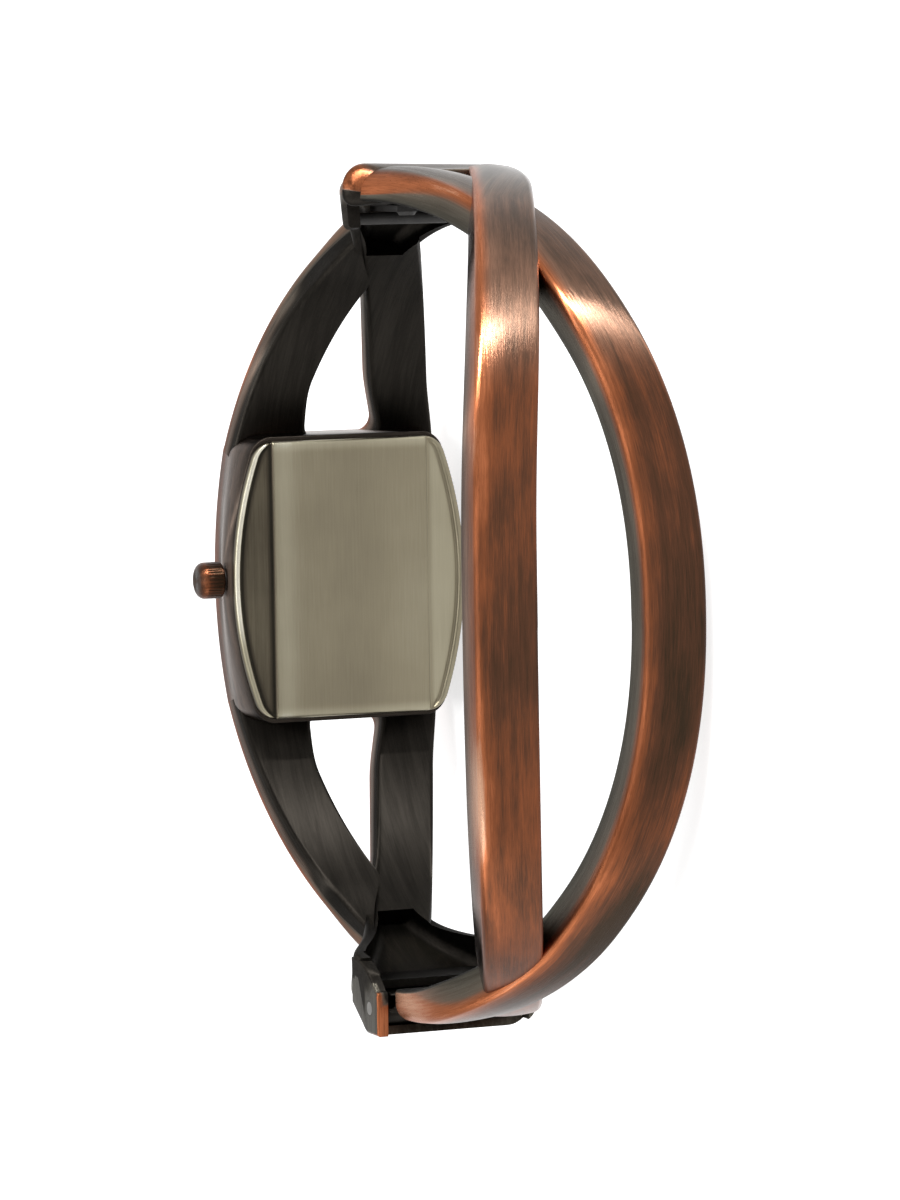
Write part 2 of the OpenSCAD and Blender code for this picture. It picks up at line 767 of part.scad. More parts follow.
module case_back() {
    slope = back_facet_drop / (back_corner_x + back_bow - back_flat_x);
    far_x = back_corner_x + 2 * back_bow;
    color(steel)
        place()
            difference() {
                union() {
                    translate([0, 0, back_z])
                        linear_extrude(back_t)
                            back_outline(0);
                    translate([0, 0, case_rear_z - eps])
                        linear_extrude(skirt_h + eps)
                            difference() {
                                back_outline(case_wall + back_gasket_w + loose_gap / 2);
                                back_outline(case_wall + back_gasket_w + skirt_t);
                            }
                }
                // The facets that fall away on either side of the flat
                for (side = [-1, 1])
                    mirror([side < 0 ? 1 : 0, 0, 0])
                        rotate([90, 0, 0])
                            linear_extrude(4 * case_half_y, center = true)
                                polygon([[back_flat_x, back_z],
                                    [far_x, back_z + (far_x - back_flat_x) * slope],
                                    [far_x, back_z - past], [back_flat_x, back_z - past]]);
            }
}

module case_back_gasket() {
    color("#23221f")
        place()
            translate([0, 0, case_rear_z])
                linear_extrude(skirt_h / 2)
                    difference() {
                        back_outline(case_wall);
                        back_outline(case_wall + back_gasket_w);
                    }
}

// Where the stem passes, every inner piece has this hole
module stem_bore(extra) {
    translate([0, 0, crown_z])
        bar_x(stem_d / 2 + extra, train_r, case_side_x);
}

module movement_holder() {
    color("#e8e6df")
        place()
            difference() {
                translate([0, 0, case_rear_z + skirt_h + loose_gap])
                    linear_extrude(dial_under_z - case_rear_z - skirt_h - loose_gap)
                        difference() {
                            back_outline(case_wall + loose_gap / 2);
                            circle(r = movement_d / 2 + loose_gap / 2);
                        }
                translate([0, 0, crown_z])
                    bar_x(crown_tube_d / 2 + loose_gap, movement_d / 4, 2 * case_side_x);
            }
}

module main_plate() {
    color("#b9a46a")
        place()
            difference() {
                translate([0, 0, plate_rear_z])
                    cylinder(d = movement_d, h = main_plate_t, $fn = 96);
                // The battery's shallow seat
                translate([battery_x, battery_y, plate_rear_z - eps])
                    cylinder(d = battery_d + 2 * loose_gap, h = battery_seat_h + eps);
                // The wheels' room and the arbor's bearing
                translate([0, 0, train_floor_z])
                    cylinder(r = train_r + loose_gap, h = main_plate_t);
                translate([0, 0, plate_rear_z - eps])
                    cylinder(r = arbor_r + run_gap, h = main_plate_t);
                stem_bore(run_gap);
                translate([0, 0, crown_z])
                    bar_x(pinion_r + loose_gap, pinion_start_x - loose_gap,
                        pinion_start_x + pinion_l + loose_gap);
            }
}

module train_bridge() {
    bridge_y = 1.2;
    coil_room = coil_core_end + loose_gap;
    color("#c9c7bd")
        place()
            translate([0, 0, plate_rear_z - bridge_t])
                linear_extrude(bridge_t)
                    difference() {
                        intersection() {
                            circle(r = movement_d / 2 - movement_edge, $fn = 96);
                            translate([-movement_d / 2, bridge_y])
                                square([movement_d, movement_d]);
                        }
                        translate([battery_x, battery_y])
                            circle(d = battery_d + 4 * loose_gap);
                        for (spot = screw_spots)
                            translate(spot)
                                circle(r = screw_r);
                        translate([-coil_l / 2 - coil_room, coil_y - coil_d])
                            square([coil_l + 2 * coil_room, movement_d]);
                    }
}

module circuit_board() {
    board_t = 0.25;
    board_x = 1.3;
    board_top_y = 1;
    color("#2f5d3a")
        place()
            translate([0, 0, plate_rear_z - board_t])
                linear_extrude(board_t)
                    difference() {
                        intersection() {
                            circle(r = movement_d / 2 - movement_edge, $fn = 96);
                            translate([board_x, -movement_d / 2])
                                square([movement_d, movement_d / 2 + board_top_y]);
                        }
                        translate([battery_x, battery_y])
                            circle(d = battery_d + 4 * loose_gap);
                        for (spot = screw_spots)
                            translate(spot)
                                circle(r = screw_r);
                    }
}

module coil() {
    color("#b8662f")
        place()
            translate([0, coil_y, plate_rear_z - coil_d / 2]) {
                bar_x(coil_d / 2, -coil_l / 2, coil_l / 2);
                bar_x(coil_core_r, -coil_l / 2 - coil_core_end, coil_l / 2 + coil_core_end);
            }
}

module battery_cell() {
    step_h = 0.2;
    cap_r = battery_d / 2 - 0.5;
    color("#c8c8c4")
        place()
            translate([battery_x, battery_y, battery_rear_z]) {
                translate([0, 0, step_h])
                    cylinder(d = battery_d, h = battery_h - step_h);
                cylinder(r = cap_r, h = step_h + eps);
            }
}

module battery_strap() {
    strap_t = 0.15;
    strap_w = 1.2;
    reach = battery_d / 2 + 0.9;
    near = 1.6;
    lift_off = 0.25;
    drop = plate_rear_z - battery_rear_z;
    color("#cfcfca")
        place()
            translate([battery_x, battery_y, battery_rear_z - strap_t]) {
                translate([-reach + near, -strap_w / 2, 0])
                    cube([2 * reach - near, strap_w, strap_t]);
                translate([reach - strap_t, -strap_w / 2, 0])
                    cube([strap_t, strap_w, drop + strap_t - lift_off]);
            }
}

module movement_screws() {
    head_r = 0.65;
    slot_w = 0.16;
    slot_h = 0.12;
    color(steel)
        place()
            for (spot = screw_spots)
                translate([spot[0], spot[1], plate_rear_z - bridge_t]) {
                    difference() {
                        translate([0, 0, -screw_head_h])
                            cylinder(r = head_r, h = screw_head_h);
                        translate([-head_r, -slot_w / 2, -screw_head_h - eps])
                            cube([2 * head_r, slot_w, slot_h + eps]);
                    }
                    translate([0, 0, -eps])
                        cylinder(r = screw_r - run_gap, h = bridge_t + eps);
                }
}

module hour_wheel() {
    color("#c9a24c")
        place()
            difference() {
                union() {
                    translate([0, 0, hour_wheel_z])
                        cylinder(r = hour_wheel_r, h = hour_wheel_t);
                    translate([0, 0, hour_wheel_z])
                        cylinder(r = hour_tube_r, h = hour_hand_z + hand_t - hour_wheel_z);
                }
                translate([0, 0, plate_front_z - past])
                    cylinder(r = cannon_r + run_gap, h = second_hand_z - plate_front_z + 2 * past);
            }
}

module cannon_pinion() {
    color("#c9a24c")
        place()
            difference() {
                translate([0, 0, centre_wheel_z])
                    cylinder(r = cannon_r, h = minute_hand_z + hand_t - centre_wheel_z);
                translate([0, 0, plate_rear_z - past])
                    cylinder(r = arbor_r + run_gap, h = second_hand_z - plate_rear_z + 2 * past);
            }
}

// A wheel of the train, fixed on its arbor
module train_wheel(height, hole_r) {
    translate([0, 0, height])
        difference() {
            cylinder(r = train_r, h = train_t);
            translate([0, 0, -train_t])
                cylinder(r = hole_r, h = 3 * train_t);
        }
}

module centre_wheel() {
    color("#c9a24c")
        place()
            train_wheel(centre_wheel_z, cannon_r);
}

module seconds_wheel() {
    color("#c9a24c")
        place()
            train_wheel(seconds_wheel_z, arbor_r);
}

module seconds_arbor() {
    color("#d0cfc8")
        place()
            translate([0, 0, plate_rear_z])
                cylinder(r = arbor_r, h = second_hand_z + hand_t - plate_rear_z);
}

module setting_pinion() {
    color("#bcbab2")
        place()
            translate([0, 0, crown_z])
                difference() {
                    bar_x(pinion_r, pinion_start_x, pinion_start_x + pinion_l);
                    bar_x(stem_d / 2 + run_gap, pinion_start_x - past, pinion_start_x + pinion_l + past);
                }
}

module stem() {
    color("#c4c2ba")
        place()
            translate([0, 0, crown_z])
                bar_x(stem_d / 2, stem_start_x, stem_end_x);
}

module crown() {
    dome = 0.6;
    edge = 0.2;
    color(copper)
        place()
            translate([0, 0, crown_z])
                rotate([0, 90, 0])
                    difference() {
                        translate([0, 0, crown_start_x])
                            rotate_extrude($fn = 64)
                                polygon(concat(
                                    [[0, 0], [crown_d / 2 - edge, 0], [crown_d / 2, edge]],
                                    [for (a = [0 : 15 : 90])
                                        [crown_d / 2 - dome * (1 - cos(a)), crown_l - dome * (1 - sin(a))]],
                                    [[0, crown_l]]
                                ));
                        translate([0, 0, crown_start_x - past])
                            cylinder(r = stem_d / 2, h = stem_end_x - crown_start_x + past);
                        translate([0, 0, crown_start_x - past])
                            cylinder(r = crown_recess_r, h = past + crown_recess_l);
                    }
}

module crown_gasket() {
    gasket_end_x = crown_start_x + crown_recess_l;
    color("#23221f")
        place()
            translate([0, 0, crown_z])
                difference() {
                    bar_x(crown_recess_r, gasket_end_x - crown_gasket_t, gasket_end_x);
                    bar_x(stem_d / 2, crown_start_x, crown_start_x + past);
                }
}

module crown_tube() {
    color("#b7b5ac")
        place()
            translate([0, 0, crown_z])
                difference() {
                    bar_x(crown_tube_d / 2, tube_start_x, crown_start_x + tube_out);
                    bar_x(stem_d / 2 + run_gap, tube_start_x - past, crown_start_x + past);
                }
}

module dial() {
    color("#efeae0")
        place()
            translate([0, 0, dial_under_z])
                linear_extrude(dial_t)
                    difference() {
                        back_outline(case_wall + loose_gap);
                        circle(r = hour_tube_r + hand_gap);
                    }
}

// How far the dial is open from its centre in a clock direction
function dial_reach(angle, inset) =
    min((front_corner_x + front_bow * bow_share - inset) / max(eps, abs(sin(angle))),
        (case_half_y - inset) / max(eps, abs(cos(angle))));

module hour_markers() {
    marker_h = 0.12;
    inset = opening_inset + 2 * dial_ring_w;
    color("#a98f5a")
        place()
            for (hour = [0 : 11])
                rotate([0, 0, -30 * hour])
                    translate([-marker_w / 2, dial_reach(30 * hour, inset) - marker_l, dial_z])
                        cube([marker_w, marker_l, marker_h]);
}

module dial_ring() {
    color("#d9d4c8")
        place()
            difference() {
                loft([[front_rows(opening_inset), dial_z, 0],
                    [front_rows(opening_inset), seat_z - loose_gap / 2, rim_arch]]);
                loft([[front_rows(opening_inset + dial_ring_w), dial_z - past, 0],
                    [front_rows(opening_inset + dial_ring_w), seat_z + past, 0]]);
            }
}

// A tapering hand with a round hub
module hand(length, width, tail, hub_r, hole_r) {
    difference() {
        union() {
            cylinder(r = hub_r, h = hand_t);
            linear_extrude(hand_t)
                polygon([[-width / 2, 0], [-width / 4, -tail], [width / 4, -tail], [width / 2, 0],
                    [width / 6, length - width / 2], [0, length], [-width / 6, length - width / 2]]);
        }
        translate([0, 0, -past])
            cylinder(r = hole_r, h = 2 * past + hand_t);
    }
}

module hour_hand() {
    color("#2b2724")
        place()
            translate([0, 0, hour_hand_z])
                rotate([0, 0, hour_turn])
                    hand(hour_hand_l, 0.75, 1, hour_tube_r + hub_rim, hour_tube_r);
}

module minute_hand() {
    color("#2b2724")
        place()
            translate([0, 0, minute_hand_z])
                rotate([0, 0, minute_turn])
                    hand(minute_hand_l, 0.6, 1.2, cannon_r + hub_rim, cannon_r);
}

module second_hand() {
    color("#8a3a2a")
        place()
            translate([0, 0, second_hand_z])
                rotate([0, 0, second_turn])
                    hand(second_hand_l, 0.25, 1.6, arbor_r + hub_rim, arbor_r);
}

module crystal() {
    edge_h = 0.15;
    edge_w = 0.25;
    inset = case_wall + crystal_gasket_t;
    color([0.85, 0.92, 0.95, 0.4])
        place()
            loft([
                [front_rows(inset), seat_z + run_gap, rim_arch],
                [front_rows(inset), seat_z + crystal_t - edge_h, rim_arch],
                [front_rows(inset + edge_w), seat_z + crystal_t, rim_arch]
            ]);
}

module crystal_gasket() {
    color("#d8d6cf")
        place()
            difference() {
                loft([[front_rows(case_wall), seat_z, rim_arch],
                    [front_rows(case_wall), seat_z + crystal_t / 2, rim_arch]]);
                loft([[front_rows(case_wall + crystal_gasket_t), seat_z - past, rim_arch],
                    [front_rows(case_wall + crystal_gasket_t), seat_z + 2 * past, rim_arch]]);
            }
}

watch_half();
back_half();
hinge_pin();
catch_bar();
clasp_tongue();
tongue_rivets();
case_back();
case_back_gasket();
movement_holder();
main_plate();
train_bridge();
circuit_board();
coil();
battery_cell();
battery_strap();
movement_screws();
hour_wheel();
cannon_pinion();
centre_wheel();
seconds_arbor();
seconds_wheel();
setting_pinion();
stem();
crown();
crown_gasket();
crown_tube();
dial();
hour_markers();
dial_ring();
hour_hand();
minute_hand();
second_hand();
crystal();
crystal_gasket();
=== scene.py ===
"""Hinged bangle watch: the surfaces that the eye sees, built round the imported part.

Lengths are millimetres in the watch's own directions until lay() puts them down in the
part's frame, in metres: x runs out through the crown, y towards 12 o'clock and z out
through the dial, all from the centre of the ring.
"""
import json
import math

import bpy
import numpy as np
from mathutils import Matrix, Vector


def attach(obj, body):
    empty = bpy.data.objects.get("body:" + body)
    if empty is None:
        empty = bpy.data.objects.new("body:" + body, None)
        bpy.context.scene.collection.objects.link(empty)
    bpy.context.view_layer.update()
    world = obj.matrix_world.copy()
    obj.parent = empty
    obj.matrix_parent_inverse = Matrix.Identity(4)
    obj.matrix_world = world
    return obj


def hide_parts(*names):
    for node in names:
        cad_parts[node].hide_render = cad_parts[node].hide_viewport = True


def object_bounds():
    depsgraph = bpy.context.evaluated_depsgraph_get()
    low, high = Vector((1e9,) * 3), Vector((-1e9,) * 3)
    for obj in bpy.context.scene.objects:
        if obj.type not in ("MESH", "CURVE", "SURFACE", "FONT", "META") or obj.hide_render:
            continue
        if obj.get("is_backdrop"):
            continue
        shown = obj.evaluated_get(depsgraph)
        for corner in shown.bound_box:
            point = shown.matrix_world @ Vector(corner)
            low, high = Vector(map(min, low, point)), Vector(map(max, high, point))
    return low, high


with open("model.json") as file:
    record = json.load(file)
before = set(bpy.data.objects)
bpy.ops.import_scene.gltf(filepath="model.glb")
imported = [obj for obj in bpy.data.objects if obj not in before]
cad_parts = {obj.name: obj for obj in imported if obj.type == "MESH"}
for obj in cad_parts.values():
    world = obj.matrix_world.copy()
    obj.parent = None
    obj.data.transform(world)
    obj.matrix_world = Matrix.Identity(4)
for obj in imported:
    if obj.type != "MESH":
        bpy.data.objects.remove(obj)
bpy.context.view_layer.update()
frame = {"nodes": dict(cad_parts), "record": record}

# ---------------------------------------------------------------- real sizes, mm
# What lay() shifts the watch by, to where the part rests
REST_Y, REST_Z, REST_X = 0.25, 0.5, 9.45

# A half ring: half its length, its depth and the power of its superellipse; and the mean radius
# that turns an angle along it into millimetres
BACK_RING = (31.0, 26.8, 2.16)
FRONT_RING = (30.5, 26.1, 1.94)
ARC_R = 28.0

# Strands: width, thickness, edge radii, and how they swell, weave and meet the clasp and the hinge
BACK_STRAND_W, BACK_STRAND_T, BACK_END_T, END_ROUND, KNUCKLE_BLEND = 4.75, 2.9, 2.4, 0.55, 1.0
FRONT_STRAND_W, FRONT_STRAND_T = 4.7, 2.4
STRAND_EDGE_R, END_EDGE_R, HINGE_EDGE_R, UNDER_EDGE_R, FLARE_EDGE_R = 0.5, 1.9, 1.3, 0.35, 0.8
JOINT_X, MID_X = 4.55, 6.4
CLASP_BOW, SIDE_BOW, CLASP_RISE, HINGE_BOW = 1.3, 0.4, 0.3, 1.6
INNER_SHARE = 0.6
WEAVE_LIFT, WEAVE_SINK = 0.4, 0.1
FACE_CROWN = 0.12
NECK_HALF_W, NECK_THIN, NECK_DROP = 2.4, 0.3, 0.1

# Degrees along the back strands: centre and reach of their humps, and the reach of their changes
CLASP_HUMP, SIDE_HUMP, HINGE_HUMP = (16, 34), (47, 35), (16, 26)
WEAVE_REACH, RISE_REACH, THIN_REACH = 24, 25, 30
CLASP_EDGE_REACH, HINGE_EDGE_FROM, HINGE_EDGE_REACH = 18, 24, 22

# Front strands at the case, by side: how much their inner and outer edges spread, over CASE_NEAR
# degrees; the last CASE_TURN degrees hold the fillet, and they end CASE_OVER degrees inside
FRONT_SPREAD = {1: (-0.9, 0.0), -1: (0.6, 0.3)}
CASE_NEAR, CASE_TURN, CASE_OVER, FRONT_WEAVE_REACH = 12, 3.5, 1.2, 12

# The case: outline, heights, seat, opening and crystal, and the minute track on the dial
CASE_HALF_Y, CASE_CORNER_R, CASE_WALL, CASE_FILLET_R = 10.9, 1.2, 1.1, 1.5
CASE_CORNER_X, CASE_BOW = (7.4, 7.85, 7.75), (2.05, 1.3, 0.8)  # at the back, waist and front
BACK_Z, CASE_REAR_Z, RIM_Z, RIM_ARCH = 18.5, 19.1, 25.8, 0.8
WAIST_Z = CASE_REAR_Z + 0.45 * (RIM_Z - CASE_REAR_Z)
SEAT_Z, OPENING_INSET, DIAL_Z, RIM_BEVEL = 24.6, 1.8, 23.1, 0.3
CRYSTAL_T, CRYSTAL_GAP, CRYSTAL_EDGE_W, SEAT_GAP = 1.1, 0.2, 0.9, 0.03
TRACK_X, TRACK_Y = 5.95, 8.25

# The case back: its facets beside the flat middle, and its bead and groove
FACET_X, FACET_DROP, FACET_STEP, BACK_INSET_Y = 6.2, 0.25, 0.1, 0.35
BEAD_W, BEAD_RISE, GROOVE_DEEP, GROOVE_W, BACK_SINK = 0.5, 0.17, 0.1, 0.18, 0.06

# The hinge: pin, knuckle and arm, ears, cover and box
PIN_Y, PIN_Z, PIN_R, KNUCKLE_R = 30.2, 0.3, 0.5, 1.25
HINGE_W, EAR_T, HINGE_GAP, COVER_T, ARM_REACH, ARM_OUT = 12.9, 0.85, 0.15, 0.55, 3.6, 0.15
COVER_R = KNUCKLE_R + HINGE_GAP + COVER_T
EAR_INNER_X = HINGE_W / 2 - EAR_T
KNUCKLE_HALF_W = EAR_INNER_X - HINGE_GAP
COVER_ANGLE = math.radians(18)
HINGE_BOX_T = 3.6

# The clasp: the mouth's height, the end bar, the box round it and the catch bar
MOUTH_Z, BAR_REACH, BAR_BACK = 2.75, 2.5, 2.0
BAR_TOP, BAR_UNDER, BAR_FALL = 31.65, 28.55, math.radians(1.2)
BAR_RIGHT_X, BAR_LEFT_X, BAR_PLAN_R, BAR_SINK = 7.275, -6.925, 2.2, 0.12
BAR_CORNERS = (1, 1, 1.75), (-1, 1, 1.9), (-1, -1, 0.4), (1, -1, 0.9)  # side, up or down, radius
BOX_W, BOX_T, BOX_WALL, BOX_ROOF_T, BOX_LIFT = 12.4, 3.8, 0.95, 1.05, 0.5
CATCH_Y, CATCH_Z, CATCH_R = 27.55, 3.6, 0.45

CROWN_Z, CROWN_START_X, CROWN_D, CROWN_L, GRIP_GROOVES, GRIP_DEEP = 21.85, 9.45, 2.8, 1.9, 32, 0.02

# Brushing: how far apart the patterns of two strands lie, and how much the strokes tilt near
# the clasp, up to a distance along the strand
STRAND_STEP, STROKE_TILT, STROKE_REACH = 20, 0.3, 11

# Columns round a strand's section, and rows along it
FACE_COLUMNS, CORNER_COLUMNS, SIDE_COLUMNS = 25, 9, 9
BACK_ROWS, BACK_END_ROWS, FRONT_ROWS, FRONT_END_ROWS, FLARE_ROWS = 271, 9, 111, 25, 61


def lay(points):
    """Watch directions in mm to the part's frame in metres: (-y, -z, x) with the resting shift."""
    x, y, z = points[..., 0], points[..., 1], points[..., 2]
    return np.stack([-y - REST_Y, -z - REST_Z, x + REST_X], -1) / 1000


def unlay(points):
    """The part's frame in metres back to watch directions in mm."""
    p = points * 1000
    return np.stack([p[..., 2] - REST_X, -p[..., 0] - REST_Y, -p[..., 1] - REST_Z], -1)


# ---------------------------------------------------------------- curves
def spow(value, power):
    """Power that keeps the sign."""
    return np.sign(value) * np.abs(value) ** power


def ease(value):
    """0 to 1 with flat ends: 3v^2 - 2v^3."""
    v = np.clip(value, 0, 1)
    return v * v * (3 - 2 * v)


def rise(value, start, reach):
    """ease() from 0 at start to 1 at start + reach."""
    return ease((value - start) / reach)


def fall(value, stop, reach):
    """ease() from 1 at stop - reach to 0 at stop."""
    return ease((stop - value) / reach)


def bell(value, centre, reach):
    """Bell curve exp(-((v - centre) / reach)^2)."""
    return np.exp(-((value - centre) / reach) ** 2)


def hump(angle, centre, reach):
    """Cosine squared hump, 1 at centre and 0 from reach on, in degrees."""
    t = np.clip(np.abs(angle - centre) / reach, 0, 1)
    return np.cos(t * np.pi / 2) ** 2


def quarter(count):
    """Angles of a quarter turn."""
    return np.linspace(0, np.pi / 2, count)


def drawn_in(r, past):
    """How far a quarter circle of radius r draws an edge in, past its start: r - sqrt(r^2 - past^2)."""
    return r - np.sqrt(r ** 2 - np.clip(past, 0, r) ** 2)


def curve_through(start, bend, end, t):
    """Quadratic curve: (1-t)^2 start + 2t(1-t) bend + t^2 end."""
    return (1 - t) ** 2 * start + 2 * t * (1 - t) * bend + t ** 2 * end


def ring_point(ring, angle):
    """Superellipse half ring: y = half_y cos^(2/n), z = depth sin^(2/n), angle in degrees."""
    half_y, depth, n = ring
    a = np.radians(angle)
    return half_y * spow(np.cos(a), 2 / n), depth * spow(np.sin(a), 2 / n)


def ring_normal(ring, angle):
    """Outward unit normal of the half ring, from the gradient of its superellipse."""
    half_y, depth, n = ring
    y, z = ring_point(ring, angle)
    ny, nz = spow(y / half_y, n - 1) / half_y, spow(z / depth, n - 1) / depth
    length = np.hypot(ny, nz)
    return ny / length, nz / length


def section(half_w, thick, left_edge, right_edge, under, crown):
    """Rounded rectangle round a band: outer face with a crown of 1 - s^2, then side, underside
    and side. left is towards +x. The inputs are one value for each row; the columns run round
    the section. zone runs 0 on the face, 1 below its edge, 2 below the side and 3 underneath."""
    half_w, thick, left_edge, right_edge, under = [
        np.asarray(v, float).reshape(-1, 1) for v in (half_w, thick, left_edge, right_edge, under)]
    face = np.linspace(0, 1, FACE_COLUMNS)[None]
    turn = quarter(CORNER_COLUMNS)[None]
    run = np.linspace(0, 1, SIDE_COLUMNS)[None, 1:-1]

    def half(edge, sign):
        """Edge, side and lower edge of one side: across, down and zone of each."""
        return [(sign * (half_w - edge + edge * np.sin(turn[:, 1:])), edge * (1 - np.cos(turn[:, 1:])),
                 turn[:, 1:] / np.pi * 2),
                (sign * (half_w + 0 * run), edge + (thick - edge - under) * run, 1 + run),
                (sign * (half_w - under + under * np.cos(turn)), thick - under + under * np.sin(turn),
                 2 + turn / np.pi * 2)]

    width = 2 * half_w - left_edge - right_edge
    bulge = -crown * (1 - (2 * face - 1) ** 2)
    back = face[:, 1:-1]
    parts = [(right_edge - half_w + width * face, bulge + 0 * half_w, 0 * face)]
    parts += half(left_edge, 1)
    parts += [((half_w - under) * (1 - 2 * back), thick + 0 * back, 3 + 0 * back)]
    parts += [(a[:, ::-1], d[:, ::-1], z[:, ::-1]) for a, d, z in half(right_edge, -1)[::-1]]
    return [np.concatenate([part[k] + 0 * half_w for part in parts], 1) for k in range(3)]


def band(ring, angle, middle, half_w, lift, thick, edges, crown=0.0):
    """Carries a rounded section along a half ring: a point is the ring's point plus
    (lift - down) along the normal, at x = middle + across."""
    size = np.ones_like(angle)
    across, down, zone = section(half_w * size, thick * size, edges[0] * size, edges[1] * size,
                                 UNDER_EDGE_R * size, crown)
    y, z = ring_point(ring, angle)
    ny, nz = ring_normal(ring, angle)
    out = (lift * size)[:, None] - down
    grid = np.stack([(middle * size)[:, None] + across, y[:, None] + ny[:, None] * out,
                     z[:, None] + nz[:, None] * out], -1)
    return grid, across / (half_w * size)[:, None], down, zone


# ---------------------------------------------------------------- strands and flares
def angle_at_depth(ring, z):
    """Degrees along a half ring where its superellipse is z deep."""
    return math.degrees(math.asin((z / ring[1]) ** (ring[2] / 2)))


STRAND_END_Z = PIN_Z - KNUCKLE_R - 0.72
BACK_AT_BAR = angle_at_depth(BACK_RING, BAR_BACK)
BACK_END = 180 - angle_at_depth(BACK_RING, -STRAND_END_Z)
MOUTH = angle_at_depth(FRONT_RING, MOUTH_Z)
CROSSING = math.degrees(math.asin(JOINT_X / (JOINT_X + MID_X)))
CASE_ANGLE = math.degrees(math.acos(
    ((CASE_HALF_Y - CASE_WALL / 2) / FRONT_RING[0]) ** (FRONT_RING[2] / 2)))


def back_middle(side, angle):
    """Middle of a back strand: it crosses from side * JOINT_X over to side * -MID_X as a sine."""
    return side * (JOINT_X - (JOINT_X + MID_X) * np.sin(np.radians(angle)))


def back_strand(side):
    """A back strand as a band: its middle is the crossing sine, spread by humps beside the clasp
    and the hinge, and lifted by a cosine squared hump where it passes over the other. At the
    hinge its width stops softly at the knuckle's, and its end draws in by a quarter circle."""
    last = BACK_END - np.degrees(END_ROUND / ARC_R)
    turn = quarter(BACK_END_ROWS)[1:]
    angle = np.concatenate([last * np.linspace(0, 1, BACK_ROWS), last + (BACK_END - last) * np.sin(turn)])
    pull = END_ROUND * np.concatenate([np.zeros(BACK_ROWS), 1 - np.cos(turn)])
    swing = CLASP_BOW * hump(angle, *CLASP_HUMP) if side > 0 else SIDE_BOW * hump(angle, *SIDE_HUMP)
    spread = HINGE_BOW * hump(180 - angle, *HINGE_HUMP) if side > 0 else 0 * angle
    middle = side * back_middle(side, angle)
    outer = middle + BACK_STRAND_W / 2 + spread - side * swing
    past = outer - np.where(angle < 90, BACK_RING[0], KNUCKLE_HALF_W)
    outer = outer - (past + np.sqrt(past ** 2 + KNUCKLE_BLEND ** 2)) / 2
    inner = middle - BACK_STRAND_W / 2 + INNER_SHARE * (spread - swing * side)
    over = CROSSING if side < 0 else 180 - CROSSING
    lift = (WEAVE_LIFT * hump(angle, over, WEAVE_REACH) - WEAVE_SINK * hump(angle, 180 - over, WEAVE_REACH)
            + CLASP_RISE * (1 - ease(angle / RISE_REACH)))
    thick = BACK_END_T + (BACK_STRAND_T - BACK_END_T) * ease(np.minimum(angle, 180 - angle) / THIN_REACH)
    plain_r = 0 * angle + STRAND_EDGE_R
    clasp_r = STRAND_EDGE_R + (END_EDGE_R - STRAND_EDGE_R) * (1 - ease(angle / CLASP_EDGE_REACH))
    rounding = rise(angle, 180 - HINGE_EDGE_FROM, HINGE_EDGE_REACH)
    hinge_r = STRAND_EDGE_R + (HINGE_EDGE_R - STRAND_EDGE_R) * rounding
    edges = (np.maximum(clasp_r, hinge_r), plain_r) if side > 0 else (plain_r, clasp_r)
    grid, across, down, zone = band(BACK_RING, angle, side * (outer + inner) / 2, (outer - inner) / 2 - pull,
                                    lift - pull, thick - 2 * pull, edges, crown=FACE_CROWN)
    grid[..., 2] *= -1
    return (grid, *back_paint(side, angle[:, None], across, down, zone))


